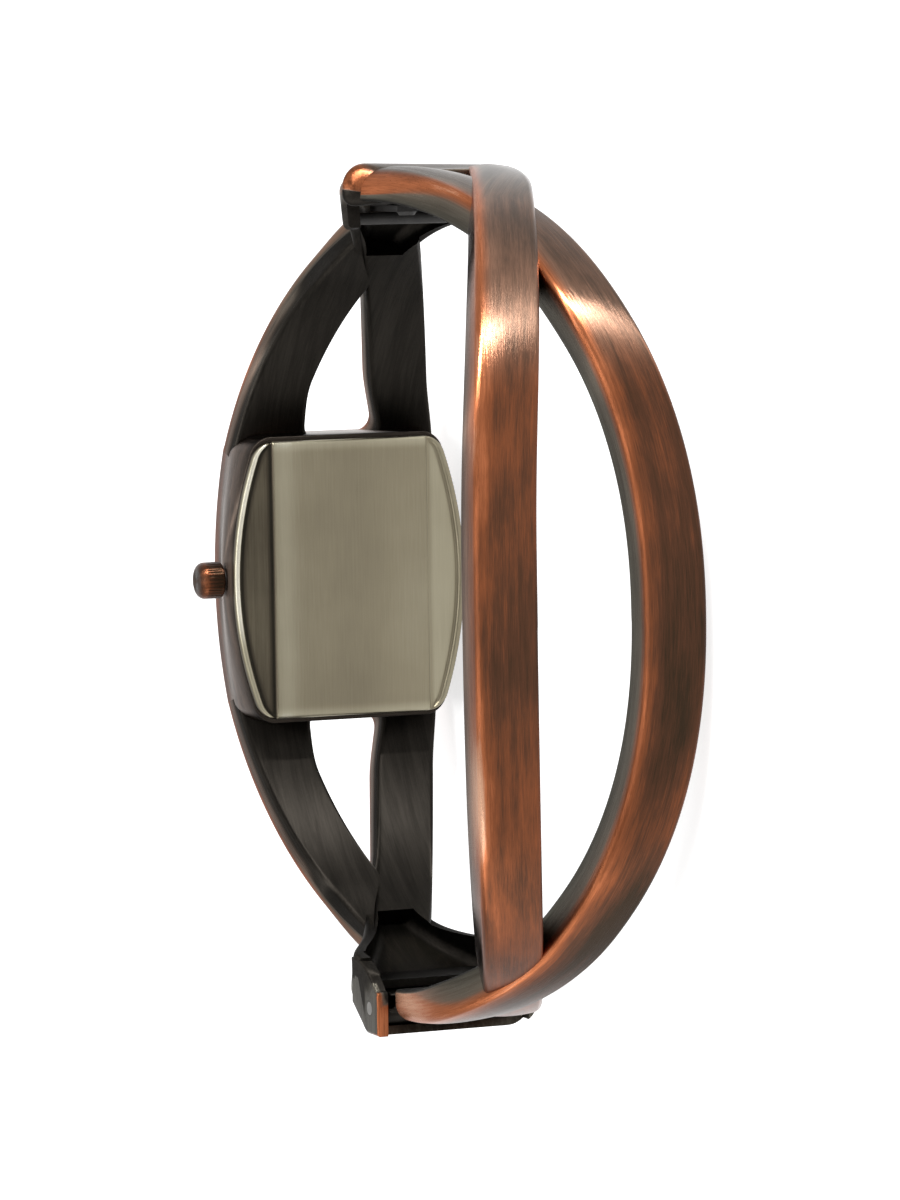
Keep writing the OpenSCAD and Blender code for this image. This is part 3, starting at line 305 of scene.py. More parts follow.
def back_paint(side, angle, across, down, zone):
    """Flow, zone, rub and end of a back strand's points. rub, how far the patina is rubbed off, also
    carries painted light: it is highest on the edge towards the crown, partly a painted highlight, and
    lowest at mid ring, which is painted shade, and at the clasp; end turns the patina grey towards the
    clasp, partly a painted reflection. Bells and eased steps along the angle and across add up."""
    crown_side = across > 0
    edge = rise(across, 0.25, 0.7)
    if side > 0:
        # Painted shade: the colour darkens round mid ring.
        rub = 0.3 + 0.3 * edge - 0.25 * bell(angle, 90, 24)
        rub = rub + 0.1 * bell(angle, 108, 18) * fall(across, -0.3, 0.5)
        # Painted shade: this line and the next darken the strand towards the hinge.
        rub = rub - 0.15 * bell(angle, 134, 13) * fall(across, 0.95, 0.1)
        rub = rub - 0.22 * rise(angle, 116, 16) * fall(across, 0.3, 0.5)
    else:
        # Painted shade: darker round mid ring, most on the edge towards the crown.
        rub = 0.34 + 0.3 * edge - 0.14 * bell(angle, 90, 15) * (1 + 1.2 * edge)
        rub = rub - 0.13 * fall(angle, 40, 12) * fall(across, 0.9, 0.4)
        # Painted highlight: brighter on the crown side's rounding and side face, past mid ring.
        rub = rub + 0.3 * bell(angle, 112, 13) * rise(zone, 0, 0.4) * crown_side
        # Painted shade: darker towards the hinge on the edge towards the crown.
        rub = rub - 0.3 * rise(angle, 116, 16) * rise(across, 0.5, 0.3)
    # A thin painted reflection along the far edge; darker at the clasp.
    rub = rub + 0.07 * fall(across, -0.8, 0.2) - 0.1 * bell(angle, 0, 9)
    # Painted highlight: a little brighter on the crown side's rounding and side.
    rub = rub + 0.05 * rise(zone, 0, 0.6) * crown_side
    nose = rise(angle, 156, 20) * rise(across, 0.1, 0.4) * (side > 0)
    rub = rub + 0.2 * nose + 0.07 * fall(angle, 14, 8) * rise(across, 0.2, 0.5) * (side > 0)
    zone = zone * (1 - 0.62 * nose * (zone < 2.2))
    # end: grey patina from the clasp, also a painted reflection; it stays at about half down to 50 degrees,
    # where it pales the lamp's highlight to white as a painted highlight, and is gone by 62.
    fade = 1 - 0.42 * rise(angle, 6, 24) - 0.58 * rise(angle, 50, 12)
    end = fade * fall(across, 0.9, 0.4) * (1 - rise(zone, 0.1, 0.3) * crown_side)
    # Painted shade: the under strand's side face towards the crown takes the darker grey.
    if side > 0:
        end = np.maximum(end, rise(zone, 1.05, 0.25) * crown_side * (1 - nose))
    along = np.radians(angle) * ARC_R
    tilt = STROKE_TILT * np.maximum(0, STROKE_REACH - along) if side < 0 else 0
    flow = np.stack([across * BACK_STRAND_W / 2 + tilt + STRAND_STEP * side, down, along + 0 * across], -1)
    return flow, np.interp(zone, (0, 1, 2, 2.6, 3), (0, 1, 1.42, 2.2, 3)), rub, end


def front_middle(side, angle):
    """Middle of a front strand, the mirror of the back strand's sine."""
    return -back_middle(side, angle)


def front_strand(side):
    """A front strand as a band, from the flare to the case. It spreads where it meets the case,
    and the last of it turns out as a quarter circle, so the corners at the case are round."""
    turn = CASE_ANGLE - CASE_TURN
    angle = np.concatenate([np.linspace(MOUTH + 3, turn, FRONT_ROWS)[:-1],
                            np.linspace(turn, CASE_ANGLE + CASE_OVER, FRONT_END_ROWS)])
    near = rise(angle, CASE_ANGLE - CASE_NEAR, CASE_NEAR)
    y = ring_point(FRONT_RING, angle)[0]
    fillet = drawn_in(CASE_FILLET_R, CASE_HALF_Y + CASE_FILLET_R - y)
    inner, outer = FRONT_SPREAD[side][0] * near - fillet, FRONT_SPREAD[side][1] * near
    lift = (WEAVE_LIFT if side > 0 else -WEAVE_SINK) * hump(angle, CROSSING, FRONT_WEAVE_REACH)
    return band(FRONT_RING, angle, front_middle(side, angle) + side * (outer + inner) / 2,
                (FRONT_STRAND_W + outer - inner) / 2, lift, FRONT_STRAND_T,
                (STRAND_EDGE_R, STRAND_EDGE_R), crown=FACE_CROWN)[0]


def flare(end_half_w, end_lift, end_t, late, inset=0.0, roof=0.0, overrun=0.0):
    """The flare that joins two strands to the clasp or the hinge, or the hollow in it, which is
    inset and has a roof: half width, lift and thickness grow from the neck to the mouth by a
    linear and an eased share. late delays the thickness, and overrun runs past the mouth."""
    full, start = MOUTH + 2.5, CROSSING + 4
    angle = np.linspace(MOUTH - overrun, start, FLARE_ROWS)
    share = np.clip((start - angle) / (start - full), 0, 1)
    half_w = NECK_HALF_W + (end_half_w - NECK_HALF_W) * (share + ease(share)) / 2
    neck_t = FRONT_STRAND_T - NECK_THIN
    thick = neck_t + (end_t - neck_t) * ease(share) * share ** late
    deeper = 2 if roof > 0 else 0
    return band(FRONT_RING, angle, 0.0, np.maximum(0.5, half_w - inset),
                end_lift * ease(share) - NECK_DROP - roof, thick - roof + deeper,
                (FLARE_EDGE_R, FLARE_EDGE_R))[0]


# ---------------------------------------------------------------- the case
def outline(inset, level):
    """Case outline with straight ends, bowed sides x = corner_x + bow (1 - (y/h)^2) and round
    corners. level runs 0, 1, 2 from the back over the waist to the front."""
    inset, level = [np.asarray(v, float).reshape(-1, 1) for v in (inset, level)]
    corner_x = np.interp(level, (0, 1, 2), CASE_CORNER_X) - inset
    bow = np.interp(level, (0, 1, 2), CASE_BOW)
    half_y = CASE_HALF_Y - inset
    r = np.maximum(0.3, CASE_CORNER_R - inset / 2)
    flat = half_y - r
    turn = quarter(9)[None]
    run = np.linspace(-1, 1, 41)[None, 1:-1]
    y = np.concatenate([-flat - r * np.sin(turn[:, ::-1]), flat * run, flat + r * np.sin(turn)], 1)
    tuck = np.concatenate([r * (1 - np.cos(turn[:, ::-1])), 0 * flat * run, r * (1 - np.cos(turn))], 1)
    x = corner_x + bow * (1 - (y / half_y) ** 2) - tuck
    end = np.linspace(1, -1, 31)[None, 1:-1]
    top_x, top_y = x[:, -1:] * end, half_y + 0 * end
    low_x, low_y = -x[:, :1] * end, -half_y + 0 * end
    return (np.concatenate([x, top_x, -x[:, ::-1], low_x], 1),
            np.concatenate([y, top_y, y[:, ::-1], low_y], 1))


def rounded(corner, before, after, r):
    """Rows round a corner of a profile: a quadratic curve from r before it to r after it."""
    corner, before, after = [np.asarray(v, float) for v in (corner, before, after)]
    a = corner + (before - corner) * min(0.45, r / np.linalg.norm((before - corner)[:2]))
    b = corner + (after - corner) * min(0.45, r / np.linalg.norm((after - corner)[:2]))
    return curve_through(a, corner, b, np.linspace(0, 1, 6)[:, None])


def profile_rows(points, radii, closed=True):
    """A profile through corner points, each rounded by its radius, with 4 rows between them."""
    n = len(points)
    rows = []
    for i, (point, r) in enumerate(zip(points, radii)):
        ends = not closed and i in (0, n - 1)
        corner = [point] if ends or r == 0 else rounded(point, points[i - 1], points[(i + 1) % n], r)
        if rows:
            rows += list(np.linspace(rows[-1], corner[0], 6)[1:-1])
        rows += list(corner)
    if closed:
        rows += list(np.linspace(rows[-1], rows[0], 6)[1:-1])
    return np.array(rows, float)


def arch(y):
    """How far the case's front falls at y: RIM_ARCH (y/h)^2."""
    return RIM_ARCH * (y / CASE_HALF_Y) ** 2


def turned_case(rows):
    """Carries profile rows (inset, z, level, arched) round the case outline; where arched is 1,
    a row's height falls towards the straight ends as the rim does."""
    x, y = outline(rows[:, 0], rows[:, 2])
    return np.stack([x, y, rows[:, 1:2] - rows[:, 3:4] * arch(y)], -1)


def case_shell():
    """The case's wall: outside from the back over the waist to the bevelled rim, then the
    crystal's seat, the opening and the movement's room. Each corner has inset, z, level, arched
    and its radius."""
    corners = [(0, CASE_REAR_Z, 0, 0, 0.15), (0, WAIST_Z, 1, 0, 1.4), (0, RIM_Z - RIM_BEVEL, 2, 1, 0.12),
               (RIM_BEVEL, RIM_Z, 2, 1, 0.12), (CASE_WALL, RIM_Z, 2, 1, 0.08), (CASE_WALL, SEAT_Z, 2, 1, 0),
               (OPENING_INSET, SEAT_Z, 2, 1, 0.05), (OPENING_INSET, DIAL_Z, 2, 0, 0),
               (CASE_WALL, DIAL_Z, 0, 0, 0), (CASE_WALL, CASE_REAR_Z, 0, 0, 0.05)]
    return turned_case(profile_rows([c[:4] for c in corners], [c[4] for c in corners]))


def case_back():
    """The snap-on back. Its wrist face is z(x, y): flat between two lines at x = +-FACET_X, then a
    small step and a facet that falls away, with a groove and a half round bead along the rim.
    The edges are rounded by quarter circles. Also its tone: dark in the hollows, patina with
    painted shade, dark on the crown side's facet, a painted reflection, and light on the crown side's
    bead, a painted highlight."""
    half_y, r = CASE_HALF_Y - BACK_INSET_Y, CASE_CORNER_R
    edge_rows = half_y - 0.02 * np.array([0, 1, 2, 4, 6, 9, 12, 15])
    corner_rows = half_y - r * (1 - np.sin(quarter(13)[::-1]))[2:]
    y = np.concatenate([edge_rows, corner_rows, np.linspace(half_y - r, 0, 36)[1:]])
    y = np.unique(np.round(np.concatenate([y, -y]), 6))
    width = CASE_CORNER_X[0] + CASE_BOW[0] * (1 - (y / half_y) ** 2) - drawn_in(r, np.abs(y) - half_y + r)
    near = FACET_X - 0.3
    flat = np.unique(np.concatenate([np.linspace(0, near, 26), np.linspace(near, FACET_X, 5)]))[:-1]
    out = np.unique(np.concatenate([np.linspace(0, 0.14, 9), np.linspace(0.14, 0.62, 12),
                                    np.linspace(0.62, 1, 41)]))
    reach = FACET_X + out[None] * (width[:, None] - FACET_X)
    half = np.concatenate([flat[None] + 0 * y[:, None], reach], 1)
    x = np.concatenate([-half[:, :0:-1], half], 1)
    rows = y[:, None] + 0 * x

    away, inside = np.abs(x) - FACET_X, width[:, None] - np.abs(x)
    slope = FACET_DROP / (CASE_CORNER_X[0] + CASE_BOW[0] - FACET_X)
    mask = rise(away, 0.15, 0.5)
    crown_side = rise(x, -1, 2)
    share = 0.35 + 0.65 * crown_side
    bead = mask * share * np.sqrt(np.maximum(0, 1 - (2 * inside / BEAD_W - 1) ** 2))
    groove = mask * bell(inside, BEAD_W + 0.15, GROOVE_W)
    z = BACK_Z + slope * np.maximum(0, away) + FACET_STEP * rise(away, 0, 0.16)
    z = z - BEAD_RISE * bead + GROOVE_DEEP * groove
    for gap, soft in ((inside, 0.14), (half_y - np.abs(rows), 0.3)):
        z = z + drawn_in(soft, soft - gap)
    z = np.minimum(z, CASE_REAR_Z - BACK_SINK)

    tone = 0.57 + 0.10 * bell(x, 5.4, 0.9) - 0.05 * bell(x, 0, 3.5)
    tone += 0.14 * rise(np.abs(rows), half_y - 1.0, 0.8) * (1 - mask)
    facet = rise(away, 0, 0.1)
    # Painted reflection: the facet on the crown side is much darker.
    facet_tone = 0.66 - 0.31 * crown_side - 0.07 * fall(inside, 1.3, 1.2) * (1 - crown_side)
    tone = tone * (1 - facet) + facet * facet_tone
    # Painted shade: a dark line along the step, strongest on the crown side.
    tone -= 0.34 * bell(away, 0.25, 0.2) * (0.3 + 0.7 * crown_side)
    # The groove is darker: patina, with painted shade.
    tone -= 0.4 * groove * share
    # Painted highlight: the bead lightens on the crown side, less towards 6 o'clock.
    tone = tone + bead * (0.95 - 0.25 * fall(rows, -2, 4) - tone) * crown_side
    low = np.full_like(z, CASE_REAR_Z)
    return np.stack([x, rows, z], -1), np.stack([x, rows, low], -1), np.clip(tone, 0.02, 1)


def crystal():
    """The crystal: the front outline with a small bevel, closed towards the middle by shrinking
    rings below and above, all arched along y like the rim."""
    inset, low_z, top_z = CASE_WALL + CRYSTAL_GAP, SEAT_Z + SEAT_GAP, SEAT_Z + CRYSTAL_T
    corners = [(inset + CRYSTAL_EDGE_W, low_z), (inset, low_z), (inset, top_z),
               (inset + CRYSTAL_EDGE_W, top_z)]
    rim = turned_case(profile_rows([(i, z, 2, 1) for i, z in corners], (0, 0.05, 0.2, 0), closed=False))

    def cover(ring, height, shares):
        """The ring's outline at each share of its size, at the arched height."""
        xy = ring[None, :, :2] * shares[:, None, None]
        return np.concatenate([xy, height - arch(xy[..., 1:])], -1)

    shares = np.linspace(0.02, 1, 16)[:-1]
    return np.concatenate([cover(rim[0], low_z, shares), rim, cover(rim[-1], top_z, shares[::-1])])


# ---------------------------------------------------------------- turned and drawn solids
def strand_side(side, depth, sign):
    """x of a back strand's edge towards +x (sign 1) or -x (sign -1) at z = -depth beside the clasp."""
    rows = back_strand(side)[0][:40]
    edge = (rows[..., 0] * sign).max(1) * sign
    return float(np.interp(depth, -rows[:, 4, 2], edge))


def end_bar():
    """The end bar: a rounded section in x and y carried along z. Its front ends draw in by the
    circle of the plan corners; behind, its sides and top ease over into the two strands. Also its
    flow, zone, rub and end."""
    r, soft, back_soft = BAR_PLAN_R, 0.25, 0.12
    z = np.concatenate([-BAR_BACK + back_soft * (1 - np.cos(quarter(7))),
                        np.linspace(back_soft - BAR_BACK, 0, 15)[1:-1], np.linspace(0, BAR_REACH - r, 5)[:-1],
                        BAR_REACH - r + (r - 0.02) * np.sin(quarter(29))])

    draw = drawn_in(r, z - (BAR_REACH - r))
    tuck = drawn_in(soft, z - (BAR_REACH - soft)) + drawn_in(back_soft, -z - (BAR_BACK - back_soft))
    blend = fall(z, 0.9, 1.9)
    left = BAR_LEFT_X + draw + blend * (strand_side(-1, BAR_BACK, -1) + BAR_SINK - BAR_LEFT_X)
    right = BAR_RIGHT_X - draw + blend * (strand_side(1, BAR_BACK, 1) - BAR_SINK - BAR_RIGHT_X)
    strand_top = ring_point(BACK_RING, BACK_AT_BAR)[0] + CLASP_RISE - BAR_SINK
    turn = quarter(13)
    flat = np.linspace(0, 1, 21)[1:-1]
    loops, zones = [], []
    for sx, sy, radius in BAR_CORNERS:
        bend = turn if sx * sy > 0 else turn[::-1]
        size = np.minimum(radius, (right - left) / 4)[:, None]
        edge_x = np.where(sx > 0, right, left)[:, None]
        top = BAR_TOP - (BAR_RIGHT_X - edge_x) * math.tan(BAR_FALL)
        top = (top + blend[:, None] * (strand_top - top)) - tuck[:, None]
        low = BAR_UNDER + tuck[:, None] + 0.25 * blend[:, None]
        edge_y = np.where(sy > 0, top, low)
        loops.append(np.stack([edge_x - sx * size * (1 - np.cos(bend)),
                               edge_y - sy * size * (1 - np.sin(bend))]))
        share = (np.pi / 2 - bend) / np.pi * 2
        zones.append(share if sy > 0 else 3 - share)
    parts, zone = [], []
    for i, loop in enumerate(loops):
        after, next_zone = loops[(i + 1) % 4], zones[(i + 1) % 4]
        parts += [loop, loop[..., -1:] + (after[..., :1] - loop[..., -1:]) * flat]
        zone += [zones[i], zones[i][-1] + (next_zone[0] - zones[i][-1]) * flat]
    x, y = np.concatenate(parts, -1)
    grid = np.stack([x, y, z[:, None] + 0 * x], -1)
    zone = np.concatenate(zone)[None] + 0 * x
    # Painted shade: the lower rounding and underside towards the crown take the dark underside colours.
    zone = zone + 1.5 * rise(zone, 1.1, 0.5) * (x > 0)
    flow = np.stack([x + 3 * STRAND_STEP, zone, grid[..., 2]], -1)
    rub = 0.2 + 0.17 * rise(x, 4.2, 2.4) * (zone < 1.6)
    # Painted reflection: end greys the top, and the sides and underside away from the crown.
    end = fall(zone, 0.65, 0.5) * fall(x, 6.2, 1.6) + (x < 0) * rise(zone, 0.2, 0.3)
    return grid, flow, zone, rub, end


def drawn_x(profile, from_x, to_x, soft):
    """Draws a closed (y, z) profile along x, with its two ends rounded by pulling the profile in
    along its normals."""
    profile = np.asarray(profile, float)
    step = np.roll(profile, -1, 0) - np.roll(profile, 1, 0)
    normal = np.stack([step[:, 1], -step[:, 0]], -1) / np.maximum(1e-9, np.linalg.norm(step, axis=1))[:, None]
    y, z = profile.T
    if np.sum(y * np.roll(z, -1) - np.roll(y, -1) * z) < 0:
        normal = -normal
    turn, middle = quarter(5), np.linspace(from_x + soft, to_x - soft, 9)[1:-1]
    x = np.concatenate([from_x + soft * (1 - np.cos(turn)), middle, to_x - soft * (1 - np.cos(turn[::-1]))])
    pull = np.concatenate([soft * (1 - np.sin(turn)), 0 * middle, soft * (1 - np.sin(turn[::-1]))])
    ring = profile[None] - normal[None] * pull[:, None, None]
    return np.concatenate([np.broadcast_to(x[:, None, None], ring.shape[:2] + (1,)), ring], -1)


def fine(profile, step=0.25):
    """The same closed profile with points no further apart than step."""
    out = []
    for a, b in zip(profile, profile[1:] + profile[:1]):
        count = max(1, int(math.hypot(b[0] - a[0], b[1] - a[1]) / step))
        out += [(a[0] + (b[0] - a[0]) * k / count, a[1] + (b[1] - a[1]) * k / count) for k in range(count)]
    return out


def arc(centre, r, start, stop, count):
    """Points (y, z) on a circle, angles in degrees from +y towards +z."""
    turns = [math.radians(start + (stop - start) * k / (count - 1)) for k in range(count)]
    return [(centre[0] + r * math.cos(t), centre[1] + r * math.sin(t)) for t in turns]


def hinge_arm():
    """The knuckle and the arm behind it, one profile drawn along x with round ends."""
    curve = arc((-PIN_Y, PIN_Z), KNUCKLE_R, 0, 270 - math.degrees(math.asin(ARM_OUT / KNUCKLE_R)), 56)
    straight = [(-PIN_Y - ARM_OUT, PIN_Z - ARM_REACH), (-PIN_Y + KNUCKLE_R, PIN_Z - ARM_REACH)]
    grid = drawn_x(fine(curve + straight), -KNUCKLE_HALF_W, KNUCKLE_HALF_W, 0.1)
    grid[..., 0] *= 1 - 0.12 * ease((STRAND_END_Z + 0.2 - grid[..., 2]) / 0.5)
    return grid


def ear_profile():
    """Side view of the hinge's ears: straight behind, round below and leaning in front, where a
    quadratic curve brings it up to the flare. A second one braces it behind."""
    edge_z, stop_z = PIN_Z - 1.6, MOUTH_Z + 1
    in_y, out_y = -PIN_Y + KNUCKLE_R + HINGE_GAP, -PIN_Y - COVER_R
    below = arc((-PIN_Y, PIN_Z), COVER_R, 180, 135, 14)
    t = np.linspace(0, 1, 16)[1:, None]
    lean = curve_through(np.array(below[-1]), np.array([-FRONT_RING[0] - 0.45, 2.6]),
                         np.array([-FRONT_RING[0] + 0.35, stop_z]), t)
    brace = curve_through(np.array([in_y + 2.05, stop_z - 0.5]), np.array([in_y + 1.95, 1.0]),
                          np.array([in_y, edge_z + 0.4]), t)
    corners = [(in_y, edge_z + 0.3), (in_y - 0.1, edge_z + 0.1), (in_y - 0.3, edge_z),
               (out_y + 0.04, edge_z + 0.05), (out_y, edge_z + 0.15)]
    return [(in_y + 2.0, stop_z)] + brace.tolist() + corners + below + lean.tolist()


def crown():
    """The crown: a drum with a domed end, turned about the stem, with fine grip grooves as
    r (1 - depth (1/2 - cos(n a)/2)^2) between its edges."""
    full, dome, soft, start, stop = CROWN_D / 2, 0.6, 0.2, CROWN_START_X, CROWN_START_X + CROWN_L
    turn = quarter(12)
    profile = [(start, 0.9), (start, full - soft)]
    profile += [(start + soft * (1 - math.cos(t)), full - soft * (1 - math.sin(t))) for t in turn[1:-1]]
    profile += [(start + d, full) for d in np.linspace(soft, CROWN_L - dome, 14)]
    profile += [(stop - dome + dome * math.sin(t), full - dome * (1 - math.cos(t))) for t in turn[1:]]
    profile += [(stop, (full - dome) * share) for share in (0.8, 0.6, 0.4, 0.2, 0.05)]
    x, r = np.array(profile).T[..., None]
    angle = np.linspace(0, 2 * np.pi, GRIP_GROOVES * 9, endpoint=False)[None]
    where = rise(x - start, 0.15, 0.2) * fall(x - start, CROWN_L - dome * 0.75, 0.25)
    groove = GRIP_DEEP * where * (0.5 - 0.5 * np.cos(GRIP_GROOVES * angle)) ** 2
    r = r * (1 - groove / np.maximum(r, 0.2))
    return np.stack([x + 0 * angle, r * np.cos(angle), CROWN_Z + r * np.sin(angle)], -1)


# ---------------------------------------------------------------- meshes
def tube(grid, ends="poles"):
    """Points and faces of a grid whose columns close round. The ends are closed by a pole each or
    by a flat cap each with ends="caps", or the rows close round too with ends="loop"."""
    rows, columns = grid.shape[:2]
    points = grid.reshape(-1, 3)
    last = rows if ends == "loop" else rows - 1
    r, c = np.arange(last)[:, None], np.arange(columns)[None]
    after, below = (c + 1) % columns, (r + 1) % rows
    quads = [r * columns + c, r * columns + after, below * columns + after, below * columns + c]
    faces = np.stack(quads, -1).reshape(-1, 4).tolist()
    if ends == "poles":
        points = np.concatenate([points, grid[:1].mean(1), grid[-1:].mean(1)])
        near, far, k, top = rows * columns, rows * columns + 1, np.arange(columns), (rows - 1) * columns
        faces += np.stack([(k + 1) % columns, k, 0 * k + near], -1).tolist()
        faces += np.stack([top + k, top + (k + 1) % columns, 0 * k + far], -1).tolist()
    elif ends == "caps":
        faces += [list(range(columns))[::-1], list(range((rows - 1) * columns, rows * columns))]
    return points, faces


def pillow(top, low):
    """Points and faces of two grids of the same size, joined round their borders."""
    rows, columns = top.shape[:2]
    n = rows * columns
    place = np.arange(n).reshape(rows, columns)
    quads = np.stack([place[:-1, :-1], place[:-1, 1:], place[1:, 1:], place[1:, :-1]], -1).reshape(-1, 4)
    border = np.concatenate([place[0], place[1:, -1], place[-1, -2::-1], place[-2:0:-1, 0]])
    after = np.roll(border, -1)
    skirt = np.stack([after, border, border + n, after + n], -1)
    faces = np.concatenate([quads, quads[:, ::-1] + n, skirt]).tolist()
    return np.concatenate([top.reshape(-1, 3), low.reshape(-1, 3)]), faces


def volume(points, faces):
    """Signed volume of a closed mesh, a fan of tetrahedra for each face."""
    fans = np.array([(face[0], face[k], face[k + 1]) for face in faces for k in range(1, len(face) - 1)])
    a, b, c = points[fans].transpose(1, 0, 2)
    return (a * np.cross(b, c)).sum() / 6


def link(made):
    """Puts an object into the scene."""
    bpy.context.scene.collection.objects.link(made)
    return made


def mesh_object(name, shell):
    """One object from a closed shell of points (mm) and faces, all facing outwards."""
    points, faces = lay(shell[0]), shell[1]
    if volume(points, faces) < 0:
        faces = [face[::-1] for face in faces]
    mesh = bpy.data.meshes.new(name)
    mesh.from_pydata(points.tolist(), [], faces)
    mesh.validate()
    return link(bpy.data.objects.new(name, mesh))


def carve(target, joined, hollows):
    """Joins closed shells to an object, cuts others out of it, one after another, and keeps the mesh."""
    steps = [("UNION", shell) for shell in joined] + [("DIFFERENCE", shell) for shell in hollows]
    tools = [mesh_object("tool", shell) for _, shell in steps]
    for (operation, _), tool in zip(steps, tools):
        cut = target.modifiers.new("cut", "BOOLEAN")
        cut.operation, cut.solver, cut.object = operation, "MANIFOLD", tool
    bpy.context.view_layer.update()
    carved = bpy.data.meshes.new_from_object(target.evaluated_get(bpy.context.evaluated_depsgraph_get()))
    target.modifiers.clear()
    target.data = carved
    for tool in tools:
        bpy.data.objects.remove(tool)


def edge_wear(mesh, points):
    """How far each point stands out of its neighbours: the mean of 2 n.(p - q) / |p - q|^2 over
    its edges, in 1/mm, smoothed over the neighbours."""
    count = len(mesh.vertices)
    edges = np.zeros(len(mesh.edges) * 2, np.int32)
    mesh.edges.foreach_get("vertices", edges)
    a, b = edges.reshape(-1, 2).T
    normals = np.zeros(count * 3, np.float32)
    mesh.vertex_normals.foreach_get("vector", normals)
    normals = normals.reshape(-1, 3)
    step = points[a] - points[b]
    size = np.maximum((step ** 2).sum(1), 0.02 ** 2)
    out = np.bincount(a, 2 * (normals[a] * step).sum(1) / size, count)
    out += np.bincount(b, -2 * (normals[b] * step).sum(1) / size, count)
    degree = np.maximum(1, np.bincount(a, minlength=count) + np.bincount(b, minlength=count))
    out = np.clip(out / degree, -3, 3)
    for _ in range(3):
        out = (out + (np.bincount(a, out[b], count) + np.bincount(b, out[a], count)) / degree) / 2
    return out


def ring_flow(ring, middles, points, back):
    """Straightened place of points on a half ring, in mm: across from the nearest strand's
    middle, down from the ring's outer face, and along its arc."""
    half_y, depth, n = ring
    x, y, z = points.T
    u, v = y / half_y, np.maximum(0, (-z if back else z)) / depth
    size = (np.abs(u) ** n + v ** n) ** (1 / n)
    angle = np.degrees(np.arctan2(v ** (n / 2), spow(u, n / 2)))
    fold = np.minimum(angle, 180 - angle)
    across = np.stack([x - middle(angle if back else fold) for middle in middles])
    nearest = np.abs(across).argmin(0)
    across = across[nearest, np.arange(len(x))]
    down = np.hypot(y, z) * (1 / np.maximum(size, 0.2) - 1)
    return np.stack([across + 2 * STRAND_STEP * nearest, down, np.radians(angle) * ARC_R], -1)


def finish_piece(piece, material, body, nodes, paint=None, sharp=38):
    """Gives a piece its shading, material and body, and hides the imported nodes it replaces. paint
    gives the flow, zone, rub and end of every point, in the order of the mesh: arrays, or a function of the
    points."""
    mesh = piece.data
    mesh.shade_smooth()
    mesh.set_sharp_from_angle(angle=math.radians(sharp))
    if paint is not None:
        co = np.zeros(len(mesh.vertices) * 3, np.float32)
        mesh.vertices.foreach_get("co", co)
        co = co.reshape(-1, 3).astype(float)
        values = paint(unlay(co), edge_wear(mesh, co * 1000)) if callable(paint) else paint
        for name, value in zip(("flow", "zone", "rub", "end"), values):
            kind, field, size = ("FLOAT_VECTOR", "vector", 3) if name == "flow" else ("FLOAT", "value", 1)
            layer = mesh.attributes.new(name, kind, "POINT")
            value = np.asarray(value, np.float32).reshape(-1, size)
            data = np.repeat(value[-1:], len(co), 0)
            data[:len(value)] = value
            layer.data.foreach_set(field, data.ravel())
    mesh.materials.clear()
    mesh.materials.append(material)
    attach(piece, body)
    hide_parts(*nodes)


# ---------------------------------------------------------------- finishes
class Wire:
    """A node's output in a finish. Arithmetic on it adds Math nodes."""

    def __init__(self, finish, socket):
        self.finish, self.socket = finish, socket

    def _maths(self, operation, *values):
        return self.finish.node("ShaderNodeMath", {"operation": operation}, dict(enumerate(values)))

    def __add__(self, other):
        return self._maths("ADD", self, other)

    def __radd__(self, other):
        return self._maths("ADD", other, self)

    def __sub__(self, other):
        return self._maths("SUBTRACT", self, other)

    def __rsub__(self, other):
        return self._maths("SUBTRACT", other, self)

    def __mul__(self, other):
        return self._maths("MULTIPLY", self, other)

    def __rmul__(self, other):
        return self._maths("MULTIPLY", other, self)

    def __pow__(self, other):
        return self._maths("POWER", self, other)


